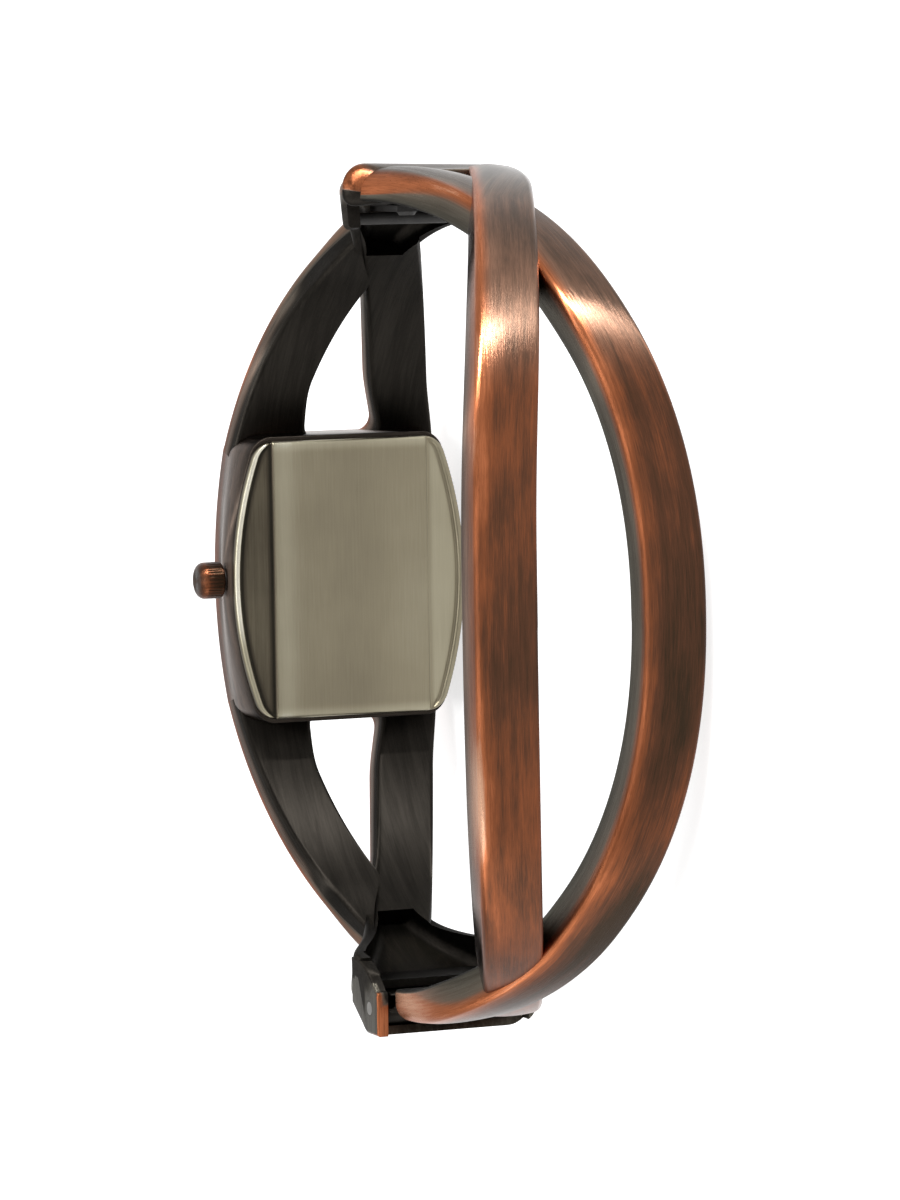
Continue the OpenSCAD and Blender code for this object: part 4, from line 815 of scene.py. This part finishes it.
class Finish:
    """A new material with a name, or the world, and its node tree. Any node comes from node()."""

    def __init__(self, name, owner=None):
        self.material = owner or bpy.data.materials.new(name)
        self.material.use_nodes = True
        self.tree = self.material.node_tree
        self.tree.nodes.clear()

    def node(self, kind, settings=None, values=None, output=0):
        """Adds a node: its settings first, then the values or wires of its sockets."""
        made = self.tree.nodes.new(kind)
        for key, value in (settings or {}).items():
            if key == "stops":
                ramp = made.color_ramp
                while len(ramp.elements) < len(value):
                    ramp.elements.new(0.5)
                for stop, (position, colour) in zip(ramp.elements, value):
                    stop.position = position
                    stop.color = (*colour, 1)
            else:
                setattr(made, key, value)
        for key, value in (values or {}).items():
            if isinstance(value, Wire):
                self.tree.links.new(value.socket, made.inputs[key])
            elif isinstance(value, tuple) and len(value) == 3 and made.inputs[key].type == "RGBA":
                made.inputs[key].default_value = (*value, 1)
            else:
                made.inputs[key].default_value = value
        return Wire(self, made.outputs[output]) if made.outputs else None

    def attribute(self, name, output=2):
        """A value of the points, or their vector with output 1."""
        return self.node("ShaderNodeAttribute", {"attribute_name": name}, output=output)

    def place(self):
        """Object coordinates in mm."""
        return self.scaled(self.node("ShaderNodeTexCoord", output=3), (1000.0, 1000.0, 1000.0))

    def scaled(self, vector, scale):
        """A vector times a constant vector."""
        return self.node("ShaderNodeVectorMath", {"operation": "MULTIPLY"}, {0: vector, 1: scale})

    def noise(self, vector, scale, detail=3.0, roughness=0.5, distortion=0.0):
        """Noise of a vector, which is first multiplied by a scale if there is one."""
        return self.node("ShaderNodeTexNoise", {"noise_dimensions": "3D"},
                         {"Vector": self.scaled(vector, scale) if scale else vector, "Scale": 1.0,
                          "Detail": detail, "Roughness": roughness, "Distortion": distortion})

    def span(self, value, low, high, to_low=0.0, to_high=1.0):
        """Maps low..high to to_low..to_high, smoothly and clamped."""
        return self.node("ShaderNodeMapRange", {"interpolation_type": "SMOOTHSTEP"},
                         {"Value": value, "From Min": low, "From Max": high,
                          "To Min": to_low, "To Max": to_high})

    def mix(self, share, a, b):
        """A colour between a and b."""
        return self.node("ShaderNodeMix", {"data_type": "RGBA"}, {0: share, 6: a, 7: b}, output=2)

    def ramp(self, value, stops):
        """A colour from stops of (position, colour)."""
        return self.node("ShaderNodeValToRGB", {"stops": stops}, {0: value})

    def bump(self, height, strength, distance):
        """A normal from a height; distance is in metres."""
        return self.node("ShaderNodeBump", None,
                         {"Height": height, "Strength": strength, "Distance": distance})

    def surface(self, **values):
        """The Principled shader and the output; names are sockets with _ for a space."""
        inputs = {key.replace("_", " "): value for key, value in values.items()}
        shader = self.node("ShaderNodeBsdfPrincipled", None, inputs)
        self.node("ShaderNodeOutputMaterial", None, {"Surface": shader})
        return self.material


# The patina's noises: scale across, down and along a strand, detail, roughness and distortion
STREAK = ((7.0, 7.0, 0.32), 4.0, 0.65)
HAIR = ((26.0, 26.0, 1.2), 2.0, 0.5)
STROKE = ((1.4, 1.4, 0.13), 3.0, 0.55, 0.3)
CLOUD = ((0.28, 0.28, 0.14), 3.0, 0.55)

# Its colours, dark to light: the face, the grey face, and the sides and undersides. The grey face
# and grey side also give painted reflection near the ends and painted shade on one side face
FACE_TONES = [(0.0, (0.032, 0.020, 0.012)), (0.22, (0.074, 0.032, 0.018)), (0.45, (0.178, 0.057, 0.024)),
              (0.7, (0.365, 0.119, 0.050)), (1.0, (0.64, 0.36, 0.235))]
GREY_FACE = (0.050, 0.040, 0.031), (0.17, 0.134, 0.102)
SIDE = (0.052, 0.038, 0.030), (0.17, 0.118, 0.090)
GREY_SIDE = (0.042, 0.038, 0.030), (0.105, 0.097, 0.078)
UNDER = (0.0175, 0.0155, 0.013), (0.033, 0.029, 0.0245)

# The case back's, from its hollows to its rim, rubbed and given a painted highlight
STEEL_TONES = [(0.0, (0.018, 0.016, 0.012)), (0.3, (0.060, 0.050, 0.036)), (0.55, (0.205, 0.180, 0.125)),
               (0.75, (0.33, 0.305, 0.225)), (1.0, (0.70, 0.67, 0.57))]


def antique_copper(name):
    """Copper with a dark patina, brushed along the strand. rub says how far the patina is rubbed off,
    and it also carries painted shade and painted highlights; fine streaks and broad clouds spread it.
    The sides are gunmetal, the undersides nearly black, and the patina turns grey where end is 1,
    partly as a painted reflection. Brushing stretches the gloss across it."""
    f = Finish(name)
    flow, (zone, rub, end) = f.attribute("flow", 1), [f.attribute(name) for name in ("zone", "rub", "end")]
    streak, hair, stroke, cloud = [f.noise(flow, *kind) for kind in (STREAK, HAIR, STROKE, CLOUD)]
    spread = (streak - 0.5) * 0.36 + (stroke - 0.5) * 0.36 + (cloud - 0.5) * 0.55 + (hair - 0.5) * 0.26
    tone = rub + spread
    copper = f.ramp(tone, FACE_TONES)
    grey = f.mix(f.span(tone, 0.1, 0.7), *GREY_FACE)
    face = f.mix(end, copper, grey)
    mottle = f.span(stroke * 0.7 + streak * 0.5, 0.35, 0.85)
    side = f.mix(end, f.mix(mottle, *SIDE), f.mix(mottle, *GREY_SIDE))
    under = f.mix(mottle, *UNDER)
    edge = zone + (stroke - 0.5) * 0.2
    lower = f.mix(f.span(edge, 1.45, 2.2), side, under)
    return f.surface(Base_Color=f.mix(f.span(edge, 0.85, 1.45), face, lower), Metallic=1.0,
                     Roughness=0.32 - tone * 0.05 + (hair - 0.5) * 0.12 + f.span(edge, 1.4, 2.3, 0.0, 0.36),
                     Anisotropic=1.0, Anisotropic_Rotation=0.25,
                     Normal=f.bump(streak * 0.6 + hair * 0.4, 0.5, 0.00005))


def case_back_satin(name):
    """Satin steel, brushed along y, with a tone that darkens its hollows and one facet and lightens its rim:
    patina with painted shade, a painted reflection and a painted highlight.
    """
    f = Finish(name)
    place = f.place()
    line, cloud = f.noise(place, (0.25, 7.0, 7.0), 4.0, 0.6), f.noise(place, (0.16, 0.16, 0.16), 2.0)
    tone = f.attribute("rub") + (line - 0.5) * 0.10 + (cloud - 0.5) * 0.14
    return f.surface(Base_Color=f.ramp(tone, STEEL_TONES), Metallic=1.0,
                     Roughness=0.36 + (line - 0.5) * 0.14 + (cloud - 0.5) * 0.08,
                     Normal=f.bump(line, 0.2, 0.00004))


def brushed_metal(name, low, high, streak, roughness):
    """Brushed metal: streaks along one direction over slow clouds, in Object coordinates."""
    f = Finish(name)
    place = f.place()
    line, cloud = f.noise(place, streak, 5.0, 0.6), f.noise(place, (0.35, 0.35, 0.35), 2.0)
    tone = f.span(line * 0.6 + cloud * 0.6, 0.35, 0.85)
    return f.surface(Base_Color=f.mix(tone, low, high), Metallic=1.0,
                     Roughness=roughness + (line - 0.5) * 0.18 + (cloud - 0.5) * 0.1,
                     Normal=f.bump(line, 0.25, 0.00004))


def plain_finish(name, low, high, scale, metallic, roughness, coat=0.0):
    """A finish whose colour wanders between two tones with a fine grain."""
    f = Finish(name)
    place = f.place()
    grain, cloud = f.noise(place, (scale,) * 3, 3.0, 0.55), f.noise(place, (scale * 0.12,) * 3, 2.0)
    tone = f.span(grain * 0.5 + cloud * 0.5, 0.3, 0.7)
    return f.surface(Base_Color=f.mix(tone, low, high), Metallic=metallic, Coat_Weight=coat,
                     Roughness=roughness + (grain - 0.5) * 0.15, Normal=f.bump(grain, 0.2, 0.00003))


def crystal_glass(name):
    """Clear mineral glass with faint haze in its roughness."""
    f = Finish(name)
    haze = f.noise(f.place(), (1.2, 1.2, 1.2))
    return f.surface(Base_Color=(0.95, 0.97, 0.97), Metallic=0.0, IOR=1.5, Transmission_Weight=1.0,
                     Roughness=haze * 0.03)


def sunray_dial(name):
    """Champagne dial, brushed in rays from its centre, with a fine minute track: marks every
    6 degrees between two rounded rectangles (|x/a|^4 + |y/b|^4)^(1/4)."""
    f = Finish(name)
    place = f.place()
    out, down = [f.node("ShaderNodeSeparateXYZ", None, {0: place}, output=k) for k in (2, 0)]
    x, y = out - REST_X, down + REST_Y
    angle = f.node("ShaderNodeMath", {"operation": "ARCTAN2"}, {0: y, 1: x})
    rays = f.noise(f.node("ShaderNodeCombineXYZ", None, {0: angle * 60.0, 1: 3.0}), None, 3.0, 0.6)
    cloud = f.noise(place, (0.4, 0.4, 0.4), 2.0)
    reach = ((x * (1 / TRACK_X)) ** 4.0 + (y * (1 / TRACK_Y)) ** 4.0) ** 0.25
    fold = f.node("ShaderNodeMath", {"operation": "FRACT"}, {0: angle * (60 / (2 * math.pi)) + 0.5})
    off = f.node("ShaderNodeMath", {"operation": "ABSOLUTE"}, {0: fold - 0.5})
    track = (f.span(off, 0.07, 0.11, 1.0, 0.0) * f.span(reach, 0.965, 0.975)
             * f.span(reach, 1.0, 1.01, 1.0, 0.0))
    plain = f.mix(f.span(rays * 0.7 + cloud * 0.3, 0.3, 0.7), (0.50, 0.43, 0.33), (0.70, 0.63, 0.51))
    return f.surface(Base_Color=f.mix(track * 0.85, plain, (0.07, 0.045, 0.03)), Metallic=0.35,
                     Coat_Weight=0.4, Roughness=0.32 + (rays - 0.5) * 0.2, Normal=f.bump(rays, 0.15, 0.00003))


COPPER = antique_copper("antique_copper")
CASE_STEEL = case_back_satin("case_back_steel")
GLASS = crystal_glass("crystal_glass")

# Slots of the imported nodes. Brushed metals: two colours, streak and roughness. Plain ones: two
# colours, grain, metallic, roughness and perhaps a coat
FINISHES = {name: brushed_metal(name, *look) for name, *look in (
    ("polished_steel", (0.11, 0.105, 0.095), (0.24, 0.23, 0.215), (5.0, 5.0, 0.5), 0.3),
    ("movement_plate", (0.42, 0.32, 0.12), (0.66, 0.52, 0.24), (4.0, 0.8, 4.0), 0.3),
    ("nickel_bridge", (0.45, 0.44, 0.4), (0.68, 0.67, 0.62), (0.6, 5.0, 5.0), 0.26),
    ("coil_wire", (0.32, 0.11, 0.04), (0.62, 0.26, 0.1), (2.0, 2.0, 14.0), 0.3),
    ("battery_can", (0.5, 0.5, 0.48), (0.72, 0.72, 0.7), (3.0, 3.0, 3.0), 0.2),
    ("wheel_brass", (0.5, 0.34, 0.1), (0.78, 0.58, 0.24), (6.0, 6.0, 6.0), 0.25))}
FINISHES.update({name: plain_finish(name, *look) for name, *look in (
    ("spring_steel", (0.012, 0.0115, 0.011), (0.03, 0.028, 0.026), 6.0, 0.25, 0.6),
    ("nitrile", (0.012, 0.012, 0.011), (0.03, 0.03, 0.028), 8.0, 0.0, 0.55),
    ("white_nylon", (0.62, 0.60, 0.55), (0.72, 0.70, 0.66), 5.0, 0.0, 0.45),
    ("board", (0.015, 0.07, 0.03), (0.03, 0.12, 0.05), 9.0, 0.0, 0.4, 0.3),
    ("marker_metal", (0.5, 0.3, 0.18), (0.75, 0.48, 0.3), 8.0, 1.0, 0.18),
    ("hand_metal", (0.05, 0.035, 0.028), (0.1, 0.07, 0.055), 8.0, 1.0, 0.25),
    ("second_paint", (0.24, 0.05, 0.03), (0.34, 0.08, 0.045), 10.0, 0.0, 0.35, 0.5))})
FINISHES["dial_paint"] = sunray_dial("dial_paint")

# ---------------------------------------------------------------- pieces of the back half
for name, side in (("back_strand_under", 1), ("back_strand_over", -1)):
    grid, *paint = back_strand(side)
    finish_piece(mesh_object(name, tube(grid)), COPPER, "back", ["back_half"], paint)

grid, *paint = end_bar()
finish_piece(mesh_object("end_bar", tube(grid)), COPPER, "back", ["back_half"], paint)


def arm_paint(points, wear):
    """Dark all over, brushed along the pin."""
    x, y, z = points.T
    return np.stack([z, y, x], -1), 2.4 + 0 * x, 0.25 + 0 * x, 0 * x


finish_piece(mesh_object("hinge_arm", tube(hinge_arm(), "caps")), COPPER, "back",
             ["back_half"], arm_paint)

# ---------------------------------------------------------------- pieces of the watch half
FRONT_PATHS = [lambda angle, side=side: front_middle(side, angle) for side in (1, -1)]

# The hinge end's paint: how far along the ring the hollow begins, from where the ears are
# painted, the half width beyond which their brace is, and how far their front is before the pin
HOLLOW_Y, EAR_Y, BRACE_X, EAR_FRONT = 22, -28.2, 5.9, 1.45


def front_paint(points, wear):
    """The zone follows the depth below the ring's outer face; the hollows are dark all over, as painted
    shade, and the hinge's ears are grey outside, a painted reflection, and rubbed on their narrow front.
    end greys the strands towards their ends, also a painted reflection."""
    x, y, z = points.T
    flow = ring_flow(FRONT_RING, FRONT_PATHS, points, False)
    across, down = (flow[:, 0] + STRAND_STEP) % (2 * STRAND_STEP) - STRAND_STEP, flow[:, 1]
    wide, far = np.abs(x), np.abs(y)
    zone = np.interp(down, (0.1, 0.5, 0.7, 1.9, 2.3), (0.0, 1.0, 1.2, 2.2, 3.0))
    # Painted shade: the hollows take the near black underside colour.
    hollow = rise(down, 0.7, 0.5) * fall(wide, EAR_INNER_X + 0.25, 0.3) * rise(far, HOLLOW_Y - 1, 4)
    zone = zone + (3 - zone) * hollow
    rub = 0.3 + 0.16 * rise(np.abs(across), 1.3, 1.0) + 0.14 * np.clip(wear, 0, 1.5)
    # Painted reflection: end greys the strands towards their ends.
    end = 0.75 * rise(far, np.where(y > 0, 15, 20), 8)
    inside = (wide < EAR_INNER_X + 0.12) & (down > 0.75) & (far > HOLLOW_Y)
    # Painted reflection: the ears are grey outside, with a rubbed copper front.
    ears = (y < EAR_Y) & (z < np.where(wide > BRACE_X, MOUTH_Z + 1.1, PIN_Z + 0.5)) & ~inside
    front = ears & (z < PIN_Z - EAR_FRONT) & (x > 0)
    zone = np.where(ears, np.where(front, 0.3, 1.3), zone)
    rub = np.where(front, 0.5, np.where(ears, 0.15, rub))
    flow[ears] = np.stack([x, z, y], -1)[ears]
    below = zone > 2.4
    flow[below, 0] = x[below]
    return flow, zone, rub, np.where(ears, np.where(front, 0.0, 1.0), end)


def mirrored(grid):
    """The same grid at the hinge end."""
    return grid * np.array([1.0, -1.0, 1.0])


def case_room():
    """A block that fills the case's inside, to keep the strands out of it."""
    rows = np.array([(CASE_WALL * 0.6, CASE_REAR_Z - 1, 0, 0), (CASE_WALL * 0.6, RIM_Z + 2, 2, 0)], float)
    return turned_case(rows)


def x_block(profile, half_w):
    """A closed shell: a profile of (y, z) drawn along x, to both sides."""
    return tube(np.array([[(x, y, z) for y, z in profile] for x in (-half_w, half_w)]), "caps")


def x_bore(y, z, r, count, half_w):
    """A closed shell to cut a round hole along x."""
    return x_block(arc((y, z), r, 0, 360, count)[:-1], half_w)


# The hinge's cuts: how thick the pocket's wall is, how far the arm's swing reaches, the pin's
# play, and the radius of the cover's corners by side
POCKET_WALL, SWING_REACH, PIN_PLAY, COVER_CORNERS = 0.6, 8.0, 0.03, ((-1, 2.2), (1, 0.3))


def hinge_cuts():
    """What is cut out of the hinge end: a pocket over the strands' ends, the knuckle's room, the
    arm's swing, the pin's bore, and what lies outside the cover's round corners."""
    wall_y = -PIN_Y + KNUCKLE_R + HINGE_GAP + POCKET_WALL
    pocket = [(wall_y, 0), (wall_y + HINGE_BOX_T, 0), (wall_y + HINGE_BOX_T, MOUTH_Z + 0.6),
              (wall_y + 1.9, MOUTH_Z + 0.9), (wall_y + 1.2, MOUTH_Z + 1.5), (wall_y, 2 * MOUTH_Z)]
    before, after, below = -PIN_Y - SWING_REACH, -PIN_Y + SWING_REACH, PIN_Z - SWING_REACH
    lid = (-PIN_Y - SWING_REACH * math.cos(COVER_ANGLE), PIN_Z - SWING_REACH * math.sin(COVER_ANGLE))
    swing = [(-PIN_Y, PIN_Z), lid, (before, below), (after, below), (after, PIN_Z)]
    cuts = [x_block(pocket, HINGE_W / 2 - BOX_WALL),
            x_bore(-PIN_Y, PIN_Z, KNUCKLE_R + HINGE_GAP, 73, EAR_INNER_X), x_block(swing, EAR_INNER_X),
            x_bore(-PIN_Y, PIN_Z, PIN_R + PIN_PLAY, 49, HINGE_W)]
    for side, r in COVER_CORNERS:
        x, y = HINGE_W / 2 - r, PIN_Y + COVER_R - r
        sliver = [(x + r * math.sin(t), y + r * math.cos(t)) for t in quarter(16)]
        sliver += [(x + 2 * r, y), (x + 2 * r, y + 2 * r), (x, y + 2 * r)]
        low, high = [[(side * u, -v, z) for u, v in sliver] for z in (-2 * MOUTH_Z, 2 * MOUTH_Z)]
        cuts.append(tube(np.array([low, high]), "caps"))
    return cuts


# A flare's mouth: half width, lift, thickness and lateness, and how far its hollow runs past it
CLASP_MOUTH, CLASP_OVERRUN = (BOX_W / 2, BOX_LIFT, BOX_T, 2), 1.0
HINGE_MOUTH, HINGE_OVERRUN = (HINGE_W / 2, 0.1, HINGE_BOX_T, 0), -3.4


def build_front_end(name, hinge):
    """The clasp end or the hinge end of the watch half: two strands joined to the flare, and to
    the ears at the hinge, then hollowed."""
    turn = mirrored if hinge else (lambda grid: grid)
    mouth, overrun = (HINGE_MOUTH, HINGE_OVERRUN) if hinge else (CLASP_MOUTH, CLASP_OVERRUN)
    joined = [tube(turn(front_strand(-1))), tube(turn(flare(*mouth)))]
    hollows = [tube(case_room()), tube(turn(flare(*mouth, BOX_WALL, BOX_ROOF_T, overrun)))]
    if hinge:
        joined.append(tube(drawn_x(fine(ear_profile(), 0.4), -HINGE_W / 2, HINGE_W / 2, 0.15), "caps"))
        hollows += hinge_cuts()
    else:
        hollows.append(x_bore(CATCH_Y, CATCH_Z, CATCH_R, 49, BOX_W / 2 - 0.3))
    piece = mesh_object(name, tube(turn(front_strand(1))))
    carve(piece, joined, hollows)
    finish_piece(piece, COPPER, "watch", ["watch_half"], front_paint, sharp=32)


build_front_end("front_strands_clasp", False)
build_front_end("front_strands_hinge", True)


def case_paint(points, wear):
    """Copper on the rim's front, falling to gunmetal down the side wall, brushed along y."""
    x, y, z = points.T
    zone = np.interp(RIM_Z - z, (1.0, 2.2, 5.5, 6.8), (0.0, 1.3, 1.72, 2.05))
    edge_x = CASE_CORNER_X[2] + CASE_BOW[2] * (1 - (y / CASE_HALF_Y) ** 2)
    inner = np.minimum(edge_x - np.abs(x), CASE_HALF_Y - np.abs(y)) > CASE_WALL - 0.04
    end_wall = (CASE_HALF_Y - np.abs(y) < 0.3)[:, None]
    flow = np.where(end_wall, np.stack([y, z, x], -1), np.stack([x, z, y], -1))
    return flow, np.where(inner, 2.2, zone), 0.32 + 0.2 * np.clip(wear, 0, 1.5), 0 * x


def crown_paint(points, wear):
    """Dark patina on the drum, rubbed on the dome's shoulder."""
    x, y, z = points.T
    r = np.hypot(y, z - CROWN_Z)
    shoulder = bell(x, CROWN_START_X + CROWN_L - 0.45, 0.4) * rise(r, 0.6, 0.5)
    flow = np.stack([np.arctan2(z - CROWN_Z, y) * CROWN_D / 2, r, x], -1)
    return flow, 0.2 + 0 * x, 0.06 + 0.2 * shoulder + 0.1 * np.clip(wear, -1, 1), 0 * x


finish_piece(mesh_object("case", tube(case_shell(), ends="loop")), COPPER, "watch",
             ["watch_half"], case_paint)
top, low, tone = case_back()
plate_paint = np.concatenate([top, low]), 0 * tone, np.append(tone.ravel(), 0 * tone.ravel() + 0.3)
finish_piece(mesh_object("case_back_plate", pillow(top, low)), CASE_STEEL, "watch",
             ["case_back"], plate_paint)
finish_piece(mesh_object("crown_cap", tube(crown())), COPPER, "crown", ["crown"],
             crown_paint)
finish_piece(mesh_object("crystal_dome", tube(crystal())), GLASS, "watch", ["crystal"])

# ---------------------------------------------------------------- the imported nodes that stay
BLACKENED = ("tongue_rivets", "catch_bar", "crown_tube")
for row in frame["record"]["subparts"]:
    mesh = frame["nodes"][row["node"]].data
    slot = "spring_steel" if row["node"] in BLACKENED else row["material_slot"]
    if slot in FINISHES:
        mesh.materials.clear()
        mesh.materials.append(FINISHES[slot])

# ---------------------------------------------------------------- floor, lights and camera
FLOOR_GREY, FLOOR_GLOW, SKY_LEVEL = (0.8, 0.8, 0.8), 0.66, 0.5
FLOOR_SIZE, FLOOR_Z = 1.5, -0.0002  # metres


def background_rays(f):
    """1 for the rays that show the background: from the camera, off metal and through glass."""
    camera_ray, glossy, through = [f.node("ShaderNodeLightPath", output=name) for name in
                                   ("Is Camera Ray", "Is Glossy Ray", "Is Transmission Ray")]
    return f.node("ShaderNodeMath", {"operation": "ADD", "use_clamp": True},
                  {0: camera_ray + glossy, 1: through})


def studio_white(name):
    """White card that takes the object's shadow and looks plain white where it is seen."""
    f = Finish(name)
    card = f.node("ShaderNodeBsdfDiffuse", None, {"Color": FLOOR_GREY})
    glow = f.node("ShaderNodeEmission", None, {"Color": (1.0, 1.0, 1.0), "Strength": FLOOR_GLOW})
    both = f.node("ShaderNodeAddShader", None, {0: card, 1: glow})
    mixed = f.node("ShaderNodeMixShader", None, {0: background_rays(f), 1: card, 2: both})
    f.node("ShaderNodeOutputMaterial", None, {"Surface": mixed})
    return f.material


floor = bpy.data.meshes.new("floor")
corners = [(x * FLOOR_SIZE, y * FLOOR_SIZE, FLOOR_Z) for x, y in ((-1, -1), (1, -1), (1, 1), (-1, 1))]
floor.from_pydata(corners, [], [(0, 1, 2, 3)])
floor.materials.append(studio_white("studio_white"))
link(bpy.data.objects.new("floor", floor))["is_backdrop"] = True

# Soft rectangular lamps, all aimed at one point: place, size and watts, in metres
LAMP_TARGET = Vector((0, 0, 0.01))
for name, place, size, watts in (("top_soft", (-0.3157, 0.1488, 0.045), (0.014, 0.2), 2.7),
                                 ("low_soft", (0.36, 0.12, 0.12), (0.2, 0.2), 0.4),
                                 ("crown_soft", (0.0, 0.12, 0.42), (0.3, 0.2), 0.8)):
    data = bpy.data.lights.new(name, "AREA")
    data.shape, data.size, data.size_y, data.energy = "RECTANGLE", *size, watts
    made = link(bpy.data.objects.new(name, data))
    made.location = place
    made.rotation_euler = (LAMP_TARGET - Vector(place)).to_track_quat("-Z", "Y").to_euler()

bpy.context.scene.world = bpy.data.worlds.new("studio")
sky = Finish("studio", bpy.context.scene.world)
level = background_rays(sky) * (1 - SKY_LEVEL) + SKY_LEVEL
air = sky.node("ShaderNodeBackground", None, {"Color": (1.0, 1.0, 1.0), "Strength": level})
sky.node("ShaderNodeOutputWorld", None, {"Surface": air})

# The camera, fitted to the photograph's outline: its directions, its distance in mm, pixels per
# mm at that distance, and where the ring's centre is in the picture
VIEW_TURN, VIEW_RISE, VIEW_ROLL = math.radians(22.47), math.radians(4.81), math.radians(-0.95)
VIEW_DISTANCE, VIEW_SCALE = 444.44, 13.643
CENTRE_PX, IMAGE, SENSOR = (445.28, 594.47), (900, 1200), 36


def view_axes():
    """Right, up and back of the camera in the part's frame: turned, raised, then rolled."""
    turn_sin, turn_cos = math.sin(VIEW_TURN), math.cos(VIEW_TURN)
    rise_sin, rise_cos = math.sin(VIEW_RISE), math.cos(VIEW_RISE)
    back = np.array([turn_sin * rise_cos, rise_sin, -turn_cos * rise_cos])
    right = np.array([-turn_cos, 0, -turn_sin])
    up = np.array([-rise_sin * turn_sin, rise_cos, rise_sin * turn_cos])
    rolled = [right * math.cos(VIEW_ROLL) + up * math.sin(VIEW_ROLL),
              up * math.cos(VIEW_ROLL) - right * math.sin(VIEW_ROLL)]
    return [Vector((-v[1], -v[2], v[0])) for v in (*rolled, back)]


right, up, back = view_axes()
camera = link(bpy.data.objects.new("camera", bpy.data.cameras.new("camera")))
centre = Vector(lay(np.zeros(3)))
camera.matrix_world = Matrix.Translation(centre + back * VIEW_DISTANCE / 1000) @ Matrix(
    (right, up, back)).transposed().to_4x4()
camera.data.sensor_fit = "VERTICAL"
camera.data.sensor_height = SENSOR
camera.data.lens = VIEW_SCALE * VIEW_DISTANCE / IMAGE[1] * SENSOR
camera.data.shift_x = (IMAGE[0] / 2 - CENTRE_PX[0]) / IMAGE[1]
camera.data.shift_y = -(IMAGE[1] / 2 - CENTRE_PX[1]) / IMAGE[1]
camera.data.clip_start = 0.01
bpy.context.scene.camera = camera
bpy.context.scene.view_settings.view_transform = "Standard"

low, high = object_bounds()
